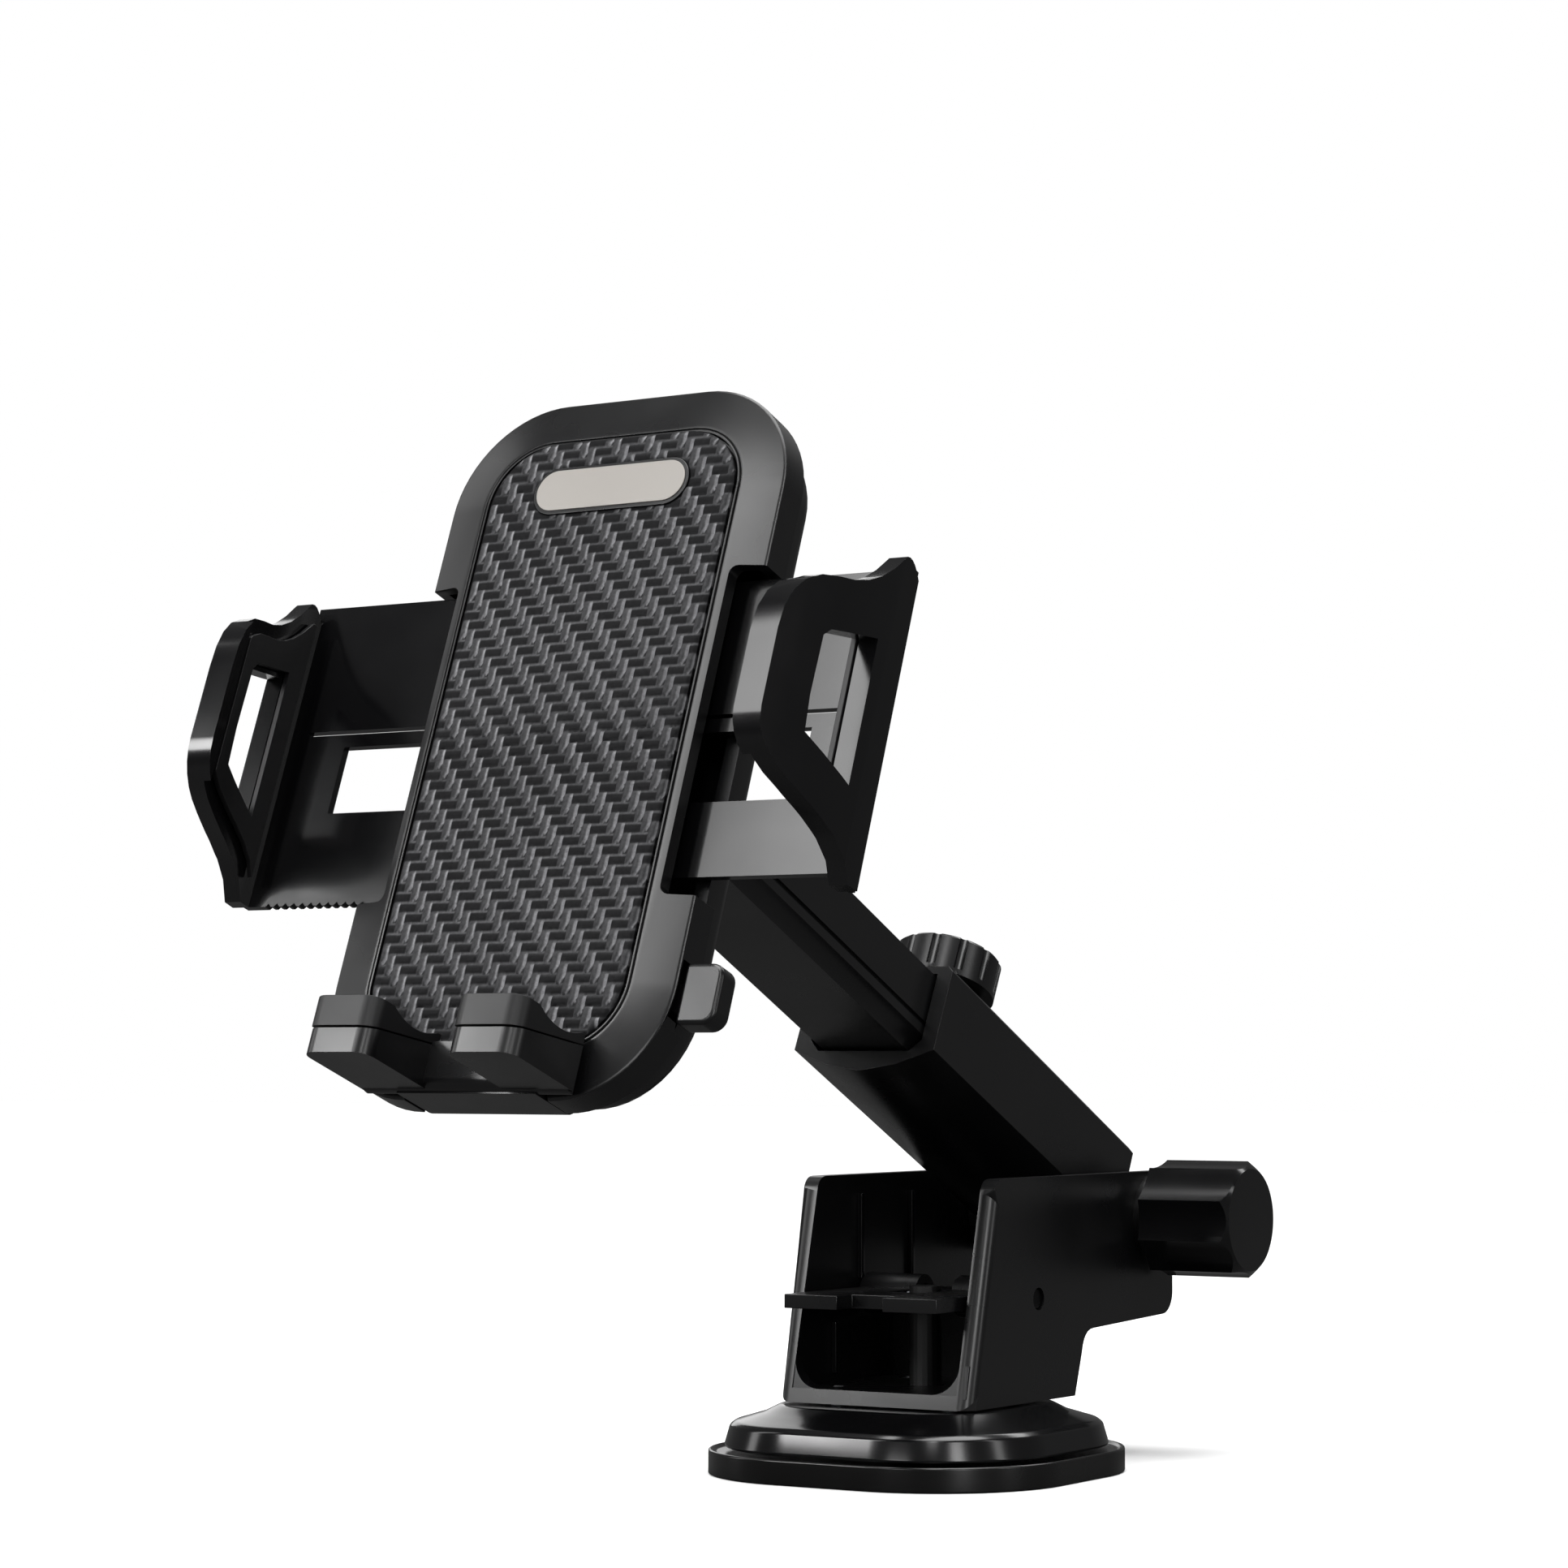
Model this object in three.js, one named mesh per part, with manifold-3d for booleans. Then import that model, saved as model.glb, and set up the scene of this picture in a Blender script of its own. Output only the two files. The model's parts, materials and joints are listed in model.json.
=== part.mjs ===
// Car phone mount: suction base, hinged telescopic arm, ball joint and a clamping cradle.
// Millimetres, +Z up. The origin is the centre of the suction pad's underside; the cradle faces -Y.
import * as THREE from "three";
import { mergeVertices } from "three/addons/utils/BufferGeometryUtils.js";
import Module from "manifold-3d";

const wasm = await Module();
wasm.setup();

// ---------------------------------------------------------------- driving sizes
const gap = 0.35; // running clearance between neighbouring pieces
const degree = Math.PI / 180;

const padSide = 65.2; // suction pad, rounded square
const padCorner = 24;
const padHeight = 4.2;
const bellSide = 60; // hard plastic skirt on the pad
const bellHeight = 7.2;

const housingWidth = 38;
const housingTop = 50.3;
const housingWall = 2.8;
const neckBack = 22;
const headBack = 59.6;
const headFloor = 23.4;

const hingeY = 52.2;
const hingeZ = 41.9;
const boltRadius = 3;
const hingeKnobRadius = 10.6;
const hingeKnobLength = 17.6;

const armLift = 26 * degree; // arm above the horizontal
const sleeveWidth = 27.6;
const sleeveTop = 12.3; // section heights above the hinge axis
const sleeveSide = -3.4;
const sleeveBelly = -7.3;
const sleeveLength = 76;
const tubeWidth = 21.2;
const tubeTop = 10.5;
const tubeBottom = -3.2;
const tubeStart = 50; // distances from the hinge along the arm
const tubeEnd = 136;
const lockKnobPlace = 57;
const lockKnobRadius = 9.4;
const lockSeatHeight = 4.6;

const ballPlace = 151;
const ballRadius = 8;
const ballDepth = 25.3; // ball centre behind the cradle's front edge
const ballRise = 1.13; // ball centre above the cradle's middle

const cradleTilt = 20.7 * degree; // cradle face leans back from the vertical
const cradleWidth = 62.4;
const cradleHeight = 116.6;
const cradleCorner = 18;
const borderWidth = 7.6; // sloped border round the panel
const borderRise = 1.2;
const frameDepth = 5.6;
const coverDepth = 6.2;
const shellWall = 2;
const panelWidth = 45.8;
const panelHeight = 101.2;
const panelCorner = 10.6;
const badgeWidth = 29;
const badgeHeight = 8.2;
const badgeRise = 42;

const notchInner = 25.4; // the clamp openings cut in from the sides as far as this
const notchHalf = 26.7;
const slideHalf = 26;
const slideThick = 1.3;
const jawPlace = 54.2; // inner face of each jaw from the middle
const jawWall = 3.2;
const jawReach = 24.5;
const jawToe = 5.4; // jaws lean in towards the phone
const jawLip = 1.4;
const windowTop = 1;
const windowBottom = -10.4;
const windowOuter = 43;

const footReach = 18.1;
const footSpacing = 13;
const footWidth = 12;
const footSeat = 8.2; // rest for the phone above the cradle's lower edge
const footPadDepth = 4; // soft cap down the front of each foot

// ---------------------------------------------------------------- materials
const plastic = { color: 0x1a1b1c, roughness: 0.42, metalness: 0 };
const rubber = { color: 0x161616, roughness: 0.7, metalness: 0 };
const steel = { color: 0xb9bcc0, roughness: 0.3, metalness: 1 };
const brass = { color: 0xb8995a, roughness: 0.35, metalness: 1 };
const carbon = { color: 0x202122, roughness: 0.35, metalness: 0 };
const badgePaint = { color: 0xb0aba6, roughness: 0.4, metalness: 0 };

// ---------------------------------------------------------------- solids
function solid(geometry) {
  const plain = geometry.clone();
  plain.deleteAttribute("normal");
  plain.deleteAttribute("uv");
  const merged = mergeVertices(plain, 1e-4);
  const vertProperties = merged.attributes.position.array;
  const triVerts = new Uint32Array(merged.index.array);
  return new wasm.Manifold(new wasm.Mesh({ numProp: 3, vertProperties, triVerts }));
}

function surface(body) {
  const mesh = body.getMesh();
  const geometry = new THREE.BufferGeometry();
  geometry.setAttribute("position", new THREE.BufferAttribute(mesh.vertProperties, 3));
  geometry.setIndex(new THREE.BufferAttribute(mesh.triVerts, 1));
  const faceted = geometry.toNonIndexed();
  faceted.computeVertexNormals();
  return faceted;
}

function join(...geometries) {
  return surface(geometries.map(solid).reduce((a, b) => a.add(b)));
}

function cut(geometry, ...tools) {
  return surface(tools.map(solid).reduce((a, b) => a.subtract(b), solid(geometry)));
}

function common(...geometries) {
  return surface(geometries.map(solid).reduce((a, b) => a.intersect(b)));
}

function box(x0, x1, y0, y1, z0, z1) {
  const geometry = new THREE.BoxGeometry(x1 - x0, y1 - y0, z1 - z0);
  return geometry.translate((x0 + x1) / 2, (y0 + y1) / 2, (z0 + z1) / 2);
}

function roundedRect(width, height, radius) {
  const x = width / 2;
  const y = height / 2;
  const shape = new THREE.Shape();
  shape.moveTo(-x + radius, -y);
  shape.lineTo(x - radius, -y);
  shape.absarc(x - radius, -y + radius, radius, -Math.PI / 2, 0, false);
  shape.absarc(x - radius, y - radius, radius, 0, Math.PI / 2, false);
  shape.absarc(-x + radius, y - radius, radius, Math.PI / 2, Math.PI, false);
  shape.absarc(-x + radius, -y + radius, radius, Math.PI, Math.PI * 1.5, false);
  return shape;
}

function outline(points) {
  return new THREE.Shape(points.map(([x, y]) => new THREE.Vector2(x, y)));
}

// Outline in X-Y, raised from z0 to z1.
function upright(shape, z0, z1, segments = 6) {
  const options = { depth: z1 - z0, bevelEnabled: false, curveSegments: segments };
  return new THREE.ExtrudeGeometry(shape, options).translate(0, 0, z0);
}

// Outline in X-Z, running from y0 to y1.
function fromFront(shape, y0, y1, segments = 6) {
  return upright(shape, 0, y1 - y0, segments).rotateX(Math.PI / 2).translate(0, y1, 0);
}

// Outline in Y-Z, running from x0 to x1.
function fromSide(shape, x0, x1, segments = 6) {
  const turn = new THREE.Matrix4().makeBasis(
    new THREE.Vector3(0, 1, 0),
    new THREE.Vector3(0, 0, 1),
    new THREE.Vector3(1, 0, 0),
  );
  return upright(shape, 0, x1 - x0, segments).applyMatrix4(turn).translate(x0, 0, 0);
}

function rodX(radius, x0, x1, y, z, sides = 20) {
  const rod = new THREE.CylinderGeometry(radius, radius, x1 - x0, sides).rotateZ(Math.PI / 2);
  return rod.translate((x0 + x1) / 2, y, z);
}

function rodY(radius, y0, y1, x, z, sides = 24) {
  const rod = new THREE.CylinderGeometry(radius, radius, y1 - y0, sides);
  return rod.translate(x, (y0 + y1) / 2, z);
}

function rodZ(radius, z0, z1, x, y, sides = 20) {
  const rod = new THREE.CylinderGeometry(radius, radius, z1 - z0, sides).rotateX(Math.PI / 2);
  return rod.translate(x, y, (z0 + z1) / 2);
}

function lathe(points, sides = 32) {
  return new THREE.LatheGeometry(points.map(([r, y]) => new THREE.Vector2(r, y)), sides);
}

// Knob outline with wide shallow flutes between narrow ribs.
function flutedCircle(radius, flutes, depth) {
  const points = [];
  const steps = flutes * 6;
  for (let i = 0; i < steps; i += 1) {
    const angle = (i / steps) * Math.PI * 2;
    const inFlute = i % 6 > 1;
    const r = inFlute ? radius - depth : radius;
    points.push([r * Math.cos(angle), r * Math.sin(angle)]);
  }
  return outline(points);
}

// A wire coil along +Y with its middle on the axis.
function coil(radius, wire, turns, length) {
  class Helix extends THREE.Curve {
    getPoint(t, target = new THREE.Vector3()) {
      const angle = t * turns * Math.PI * 2;
      return target.set(radius * Math.cos(angle), length * t, radius * Math.sin(angle));
    }
  }
  const section = new THREE.Shape();
  section.absarc(0, 0, wire, 0, Math.PI * 2, false);
  const options = { steps: turns * 10, extrudePath: new Helix(), curveSegments: 2 };
  return new THREE.ExtrudeGeometry(section, options);
}

function piece(parent, name, geometry, look) {
  const mesh = new THREE.Mesh(geometry, new THREE.MeshStandardMaterial(look));
  mesh.name = name;
  parent.add(mesh);
  return mesh;
}

// ---------------------------------------------------------------- base
const stemY = 3;
const stemRadius = 2.8;
const stemTop = 31.5;
const bellBottom = padHeight + gap;
const bellTop = bellBottom + bellHeight;

function suctionPad() {
  const disc = upright(roundedRect(padSide, padSide, padCorner), 0, padHeight, 8);
  const pocket = rodZ(7, 2, padHeight + 1, 0, stemY);
  return cut(disc, pocket);
}

function baseBell() {
  const skirtHeight = 4;
  const skirt = upright(roundedRect(bellSide, bellSide, 22), bellBottom, bellBottom + skirtHeight);
  const slope = new THREE.ExtrudeGeometry(roundedRect(housingWidth + 6, 44, 12), {
    depth: 1,
    bevelThickness: bellHeight - skirtHeight,
    bevelSize: 5.5,
    bevelSegments: 2,
    curveSegments: 6,
  }).translate(0, 0, bellTop - 1 - (bellHeight - skirtHeight));
  const ceiling = box(-50, 50, -50, 50, bellTop, 60);
  const floor = box(-50, 50, -50, 50, -20, bellBottom);
  const bore = rodZ(stemRadius + gap, 0, 30, 0, stemY);
  const flangeRoom = rodZ(7, 0, bellBottom + 3.6, 0, stemY);
  return cut(join(skirt, slope), ceiling, floor, bore, flangeRoom);
}

function housingOutline() {
  const bottom = bellTop + gap;
  const shape = new THREE.Shape();
  shape.moveTo(-15.2, bottom);
  shape.lineTo(-6.4, housingTop - 2.5);
  shape.quadraticCurveTo(-5.9, housingTop, -3.4, housingTop);
  shape.lineTo(headBack - 4, housingTop);
  shape.absarc(headBack - 4, housingTop - 4, 4, Math.PI / 2, 0, true);
  shape.lineTo(headBack, headFloor + 5);
  shape.absarc(headBack - 4, headFloor + 5, 4, 0, -Math.PI / 2, true);
  shape.lineTo(neckBack + 7, headFloor);
  shape.quadraticCurveTo(neckBack + 3.4, headFloor, neckBack + 2.6, headFloor - 4);
  shape.lineTo(neckBack, bottom);
  return shape;
}

function baseHousing() {
  const inner = housingWidth / 2 - housingWall;
  const floor = bellTop + gap + 2.4;
  const back = neckBack - housingWall;
  const shell = fromSide(housingOutline(), -housingWidth / 2, housingWidth / 2);
  const well = box(-inner, inner, -30, back, floor, 80);
  const headRoom = box(-inner, inner, back - 1, headBack + 20, headFloor + housingWall, 80);
  const boltHole = rodX(boltRadius + gap, -40, 40, hingeY, hingeZ);
  const headSink = rodX(6, -housingWidth / 2 - 1, -housingWidth / 2 + 1.2, hingeY, hingeZ, 6);
  const boss = rodX(8, housingWidth / 2 - 1, housingWidth / 2 + 1.6, hingeY, hingeZ);
  const pinHole = rodX(1.6 + gap, -40, 40, leverPinY, leverPinZ);
  const bore = rodZ(stemRadius + gap, 0, floor + 1, 0, stemY);
  const screwHoles = bellScrewPlaces.map(([x, y]) => rodZ(1.2 + gap, 0, floor + 1, x, y, 12));
  return cut(join(shell, boss), well, headRoom, boltHole, headSink, pinHole, bore, ...screwHoles);
}

const leverPinY = 9;
const leverPinZ = 29.5;
const bellScrewPlaces = [[-11, -8], [11, -8], [-11, 15], [11, 15]];

function pullStem() {
  const flange = rodZ(6.4, 2.4, padHeight + 1.4, 0, stemY);
  const shaft = rodZ(stemRadius, 3, stemTop, 0, stemY);
  const pinHole = rodX(1 + gap, -10, 10, stemY, leverPinZ);
  return cut(join(flange, shaft), pinHole);
}

function lockLever() {
  const width = 30;
  const front = -19;
  const paddle = box(-width / 2, width / 2, front, leverPinY, leverPinZ - 1.2, leverPinZ + 1.2);
  const hub = rodX(3.6, -width / 2, width / 2, leverPinY, leverPinZ);
  const recess = box(-4.5, 4.5, front - 1, front + 5, 0, 60);
  const slot = box(-3.6, 3.6, stemY - 7, leverPinY + 9, 0, 60);
  const pinHole = rodX(1.6 + gap, -20, 20, leverPinY, leverPinZ);
  return cut(join(paddle, hub), recess, slot, pinHole);
}

function bellScrew(x, y) {
  const head = rodZ(2.6, bellBottom + 0.6, bellBottom + 2.2, x, y, 16);
  const shank = rodZ(1.2, bellBottom + 1, bellTop + 2.6, x, y, 12);
  return join(head, shank);
}

function bellWithScrewHoles() {
  const holes = bellScrewPlaces.flatMap(([x, y]) => [
    rodZ(2.6 + gap, 0, bellBottom + 2.2 + gap, x, y, 16),
    rodZ(1.2 + gap, 0, 30, x, y, 12),
  ]);
  return cut(baseBell(), ...holes);
}

const base = new THREE.Group();
piece(base, "suction_pad", suctionPad(), rubber);
piece(base, "base_bell", bellWithScrewHoles(), plastic);
piece(base, "base_housing", baseHousing(), plastic);
bellScrewPlaces.forEach(([x, y], i) => {
  piece(base, "bell_screw_" + (i + 1), bellScrew(x, y), steel);
});
piece(base, "pull_stem", pullStem(), plastic);
piece(base, "stem_pin", rodX(1, -3.3, 3.3, stemY, leverPinZ, 12), steel);
piece(base, "lock_lever", lockLever(), plastic);
const leverPinHalf = housingWidth / 2 - 0.4;
piece(base, "lever_pin", rodX(1.6, -leverPinHalf, leverPinHalf, leverPinY, leverPinZ, 16), steel);

// ---------------------------------------------------------------- base hinge
const knobStart = housingWidth / 2 + 1.6 + gap;
const boltEnd = knobStart + hingeKnobLength - 4;

function hingeBolt() {
  const head = rodX(5.4, -housingWidth / 2 - 1.6, -housingWidth / 2 + 0.8, hingeY, hingeZ, 6);
  const shank = rodX(boltRadius, -housingWidth / 2, boltEnd, hingeY, hingeZ);
  return join(head, shank);
}

function hingeKnob() {
  const body = new THREE.ExtrudeGeometry(flutedCircle(hingeKnobRadius, 9, 0.9), {
    depth: hingeKnobLength,
    bevelEnabled: false,
  }).rotateY(Math.PI / 2).translate(knobStart, hingeY, hingeZ);
  const bore = rodX(boltRadius + gap, knobStart - 1, boltEnd + 1, hingeY, hingeZ);
  const pocket = rodX(5.2 + gap, knobStart - 1, knobStart + 8 + gap, hingeY, hingeZ);
  return cut(body, bore, pocket);
}

function ring(outer, inner, x0, x1, y, z) {
  return cut(rodX(outer, x0, x1, y, z), rodX(inner, x0 - 1, x1 + 1, y, z));
}

piece(base, "hinge_bolt", hingeBolt(), steel);
piece(base, "hinge_knob", hingeKnob(), plastic);
const insert = ring(5.2, boltRadius + gap, knobStart + 0.4, knobStart + 8, hingeY, hingeZ);
piece(base, "hinge_knob_insert", insert, brass);
const washerIn = sleeveWidth / 2 + gap;
const washerOut = housingWidth / 2 - housingWall - gap;
const leftWasher = ring(6.5, boltRadius + gap, -washerOut, -washerIn, hingeY, hingeZ);
const rightWasher = ring(6.5, boltRadius + gap, washerIn, washerOut, hingeY, hingeZ);
piece(base, "hinge_washer_left", leftWasher, rubber);
piece(base, "hinge_washer_right", rightWasher, rubber);

// ---------------------------------------------------------------- arm (local -Y runs out)
const arm = new THREE.Group();
arm.position.set(0, hingeY, hingeZ);
arm.rotation.x = -armLift;

function sleeveSection() {
  const half = sleeveWidth / 2;
  return outline([
    [-half, sleeveSide],
    [-half * 0.5, sleeveBelly + 1.2],
    [0, sleeveBelly],
    [half * 0.5, sleeveBelly + 1.2],
    [half, sleeveSide],
    [half, sleeveTop - 1],
    [half - 1, sleeveTop],
    [-half + 1, sleeveTop],
    [-half, sleeveTop - 1],
  ]);
}

function tubeSection(spare) {
  const half = tubeWidth / 2 + spare;
  const bottom = tubeBottom - spare;
  return outline([
    [-half + 2, bottom],
    [half - 2, bottom],
    [half, bottom + 2],
    [half, tubeTop + spare],
    [-half, tubeTop + spare],
    [-half, bottom + 2],
  ]);
}

function armSleeve() {
  const body = fromFront(sleeveSection(), -sleeveLength, -3);
  const boss = rodX(6.8, -sleeveWidth / 2, sleeveWidth / 2, 0, 0);
  const seat = rodZ(7, sleeveTop - 1, sleeveTop + lockSeatHeight, 0, -lockKnobPlace);
  const cavity = fromFront(tubeSection(gap), -sleeveLength - 5, -11.5);
  const boltHole = rodX(boltRadius + gap, -30, 30, 0, 0);
  const nutHole = rodZ(3.6 + gap, tubeTop - 1, sleeveTop + 9, 0, -lockKnobPlace);
  return cut(join(body, boss, seat), cavity, boltHole, nutHole);
}

function armTube() {
  const body = fromFront(tubeSection(0), -tubeEnd, -tubeStart);
  const half = tubeWidth / 2 - 1.8;
  const hollow = box(-half, half, -tubeEnd + 4, 0, tubeBottom + 2, tubeTop - 1.8);
  const studHole = rodY(3 + gap, -tubeEnd - 1, -tubeEnd + 9, 0, tubeMiddle);
  return cut(body, hollow, studHole);
}

const tubeMiddle = (tubeTop + tubeBottom) / 2;

function ballStud() {
  const shaft = [[0, 0], [3, 0], [3, 9.6], [5, 10], [5, 11.5], [4.2, 12], [4.2, 20]];
  const studLength = ballPlace - tubeEnd + 9.6;
  const profile = shaft.map(([r, y]) => [r, y]);
  for (let i = 1; i < 10; i += 1) {
    const angle = -Math.PI / 2 + 0.56 + (i / 10) * (Math.PI - 0.56);
    profile.push([ballRadius * Math.cos(angle), studLength + ballRadius * Math.sin(angle)]);
  }
  profile.push([0, studLength + ballRadius]);
  const stud = lathe(profile, 20).rotateX(Math.PI);
  return stud.translate(0, -tubeEnd + 9.6, tubeMiddle);
}

piece(arm, "arm_sleeve", armSleeve(), plastic);
piece(arm, "arm_tube", armTube(), plastic);
piece(arm, "ball_stud", ballStud(), plastic);

// ---------------------------------------------------------------- arm lock
function lockKnob() {
  const start = sleeveTop + lockSeatHeight + gap;
  const body = upright(flutedCircle(lockKnobRadius, 12, 0.7), start, start + 7);
  const bore = rodZ(2 + gap, start - 1, start + 5.4, 0, 0);
  return cut(body, bore).translate(0, -lockKnobPlace, 0);
}

function lockNut() {
  const bottom = tubeTop + 1.4;
  const top = sleeveTop + lockSeatHeight - 0.3;
  const collar = rodZ(3.6, bottom, top, 0, -lockKnobPlace);
  return cut(collar, rodZ(2 + gap, bottom - 1, top + 1, 0, -lockKnobPlace));
}

piece(arm, "lock_knob", lockKnob(), plastic);
const screwTop = sleeveTop + lockSeatHeight + 5;
const lockScrew = rodZ(2, tubeTop + 1.5, screwTop, 0, -lockKnobPlace, 16);
piece(arm, "lock_screw", lockScrew, steel);
piece(arm, "lock_nut", lockNut(), brass);
const pressurePad = rodZ(3.2, tubeTop + gap, tubeTop + 1.1, 0, -lockKnobPlace, 16);
piece(arm, "pressure_pad", pressurePad, rubber);

// ---------------------------------------------------------------- cradle (local -Y faces the phone)
const cradle = new THREE.Group();
const armTurn = new THREE.Matrix4().makeRotationX(-armLift);
const ballCentre = new THREE.Vector3(0, -ballPlace, tubeMiddle).applyMatrix4(armTurn);
ballCentre.add(arm.position);
const cradleTurn = new THREE.Matrix4().makeRotationX(-cradleTilt);
const toBall = new THREE.Vector3(0, ballDepth, ballRise).applyMatrix4(cradleTurn);
cradle.position.copy(ballCentre).sub(toBall);
cradle.rotation.x = -cradleTilt;

const screwPlaces = [[-19, 48], [19, 48], [-19, -49], [19, -49]];
const neckHalf = 13;
const buttonLow = -46.2;
const buttonHigh = -36.8;
const buttonTravel = 2.2;

function frontFrame() {
  const inset = borderWidth * 2;
  const face = roundedRect(cradleWidth - inset, cradleHeight - inset, cradleCorner - borderWidth);
  const shell = new THREE.ExtrudeGeometry(face, {
    depth: frameDepth + 1,
    bevelThickness: borderRise,
    bevelSize: borderWidth,
    bevelSegments: 1,
    curveSegments: 6,
  }).rotateX(Math.PI / 2).translate(0, frameDepth + 1, 0);
  const behind = box(-60, 60, frameDepth, 30, -80, 80);
  const room = roundedRect(
    cradleWidth - 2 * shellWall,
    cradleHeight - 2 * shellWall,
    cradleCorner - shellWall,
  );
  const cavity = fromFront(room, 1.5, 20);
  const bosses = screwPlaces.map(([x, z]) => rodY(3, 1, frameDepth, x, z, 16));
  const bossHoles = screwPlaces.map(([x, z]) => rodY(1.2 + gap, 1.5, 20, x, z, 12));
  const recess = roundedRect(panelWidth + 2 * gap, panelHeight + 2 * gap, panelCorner + gap);
  const panelRoom = fromFront(recess, -5, -0.3);
  const notches = [-1, 1].map((side) => {
    const x0 = side > 0 ? notchInner : -60;
    const x1 = side > 0 ? 60 : -notchInner;
    return box(x0, x1, -10, 20, -notchHalf, notchHalf);
  });
  const footGap = box(-neckHalf, neckHalf, -10, 20, -80, -cradleHeight / 2 + shellWall + 0.2);
  const wallFace = cradleWidth / 2;
  const stemGap = box(20, wallFace + 9, 1.9, 5, buttonLow + 2.2, buttonHigh - 2.4);
  const capGap = box(
    wallFace - buttonTravel - gap,
    wallFace + 9,
    1 - gap,
    20,
    buttonLow - gap,
    buttonHigh + gap,
  );
  const gaps = [...notches, footGap, stemGap, capGap];
  const shellCut = cut(shell, behind, cavity, panelRoom, ...gaps);
  return cut(join(shellCut, ...bosses), ...bossHoles);
}

function carbonPanel() {
  const sheet = fromFront(roundedRect(panelWidth, panelHeight, panelCorner), -1.1, -0.6);
  const pill = roundedRect(badgeWidth + 2 * gap, badgeHeight + 2 * gap, badgeHeight / 2 + gap);
  return cut(sheet, fromFront(pill, -5, 5).translate(0, 0, badgeRise));
}

function badge() {
  const pill = roundedRect(badgeWidth, badgeHeight, badgeHeight / 2 - 0.01);
  return fromFront(pill, -1.7, -0.6).translate(0, 0, badgeRise);
}

function rearCover() {
  const y0 = frameDepth + gap;
  const y1 = y0 + coverDepth;
  const inset = 9;
  const bevel = 2.5;
  const back = roundedRect(cradleWidth - inset, cradleHeight - inset, cradleCorner - inset / 2);
  const shell = new THREE.ExtrudeGeometry(back, {
    depth: coverDepth,
    bevelThickness: bevel,
    bevelSize: bevel,
    bevelSegments: 2,
    curveSegments: 6,
  }).rotateX(Math.PI / 2).translate(0, y1 - bevel, 0);
  const ahead = box(-60, 60, -30, y0, -80, 80);
  const room = roundedRect(
    cradleWidth - inset,
    cradleHeight - inset,
    cradleCorner - inset / 2,
  );
  const cavity = fromFront(room, y0 - 1, y1 - 1.8);
  const cup = rodY(11.4, y1 - 1, ballDepth, 0, ballRise, 24);
  const collar = rodY(14, y1 - 1, y1 + 2, 0, ballRise, 24);
  const ballRoom = new THREE.SphereGeometry(ballRadius + gap, 20, 10);
  ballRoom.translate(0, ballDepth, ballRise);
  const axleBoss = rodY(3.2, y1 - 3, y1 - 1, 0, pinionZ, 16);
  const axleHole = rodY(1.5 + gap, y0, y1 - 1.6, 0, pinionZ, 16);
  const screwHoles = screwPlaces.flatMap(([x, z]) => [
    rodY(1.2 + gap, 0, 20, x, z, 12),
    rodY(2.6 + gap, y1 - 1, 20, x, z, 16),
  ]);
  const bosses = screwPlaces.map(([x, z]) => rodY(4, y0, y1 - 1, x, z, 16));
  const footGap = box(-neckHalf, neckHalf, 0, y0 + 3, -80, -cradleHeight / 2 + 9);
  const hollow = cut(shell, ahead, cavity);
  const full = join(hollow, cup, collar, axleBoss, ...bosses);
  return cut(full, ballRoom, axleHole, ...screwHoles, footGap);
}

const pinionZ = (windowTop + windowBottom) / 2;
const pinionRadius = (windowTop - windowBottom) / 2 - 0.9;

function coverScrew(x, z) {
  const top = frameDepth + gap + coverDepth;
  return join(rodY(2.6, top - 0.8, top + 0.6, x, z, 16), rodY(1.2, 2.4, top, x, z, 12));
}

piece(cradle, "front_frame", frontFrame(), plastic);
piece(cradle, "carbon_panel", carbonPanel(), carbon);
piece(cradle, "badge", badge(), badgePaint);
piece(cradle, "rear_cover", rearCover(), plastic);
screwPlaces.forEach(([x, z], i) => {
  piece(cradle, "cover_screw_" + (i + 1), coverScrew(x, z), steel);
});

function ballNut() {
  const profile = [
    [14, 19],
    [14.6, 20],
    [14.6, 29],
    [12.6, 31.6],
    [8.6, 31.6],
    [7.3, 29.7],
    [7.9, 28.4],
    [8.9, 26.4],
    [11.4 + gap, 25.9],
    [11.4 + gap, 19],
    [14, 19],
  ];
  const collar = lathe(profile, 24);
  return collar.translate(0, 0, ballRise);
}

piece(cradle, "ball_nut", ballNut(), plastic);

// ---------------------------------------------------------------- clamps
// Depth layers behind the front face: left slide, right slide, then springs and latch.
const leftLayer = 1.8;
const rightLayer = leftLayer + slideThick + gap;
const slideInner = 4;
const jawBack = 1.9;

// Side outline of a jaw: y is minus the reach towards the phone, z is height.
function jawOutline() {
  const back = jawBack;
  const front = jawBack - jawReach;
  const shape = new THREE.Shape();
  shape.moveTo(back, -slideHalf);
  shape.lineTo(back, 23);
  shape.quadraticCurveTo(back - 2, 26, back - 3.6, 25.2);
  shape.bezierCurveTo(-5.5, 19.5, -9, 17, -14, 16);
  shape.quadraticCurveTo(front, 14, front, 4);
  shape.lineTo(front, -8);
  shape.quadraticCurveTo(front, -13, -17, -15.8);
  shape.bezierCurveTo(-10, -19, -2.5, -20, -0.4, -slideHalf);
  return shape;
}

function jawWindow() {
  return outline([
    [-4.5, -12.4],
    [-14.6, -8.6],
    [-15, -3],
    [-14.8, 6.4],
    [-13.6, 7.8],
    [-4.5, 10.6],
  ]);
}

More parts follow.
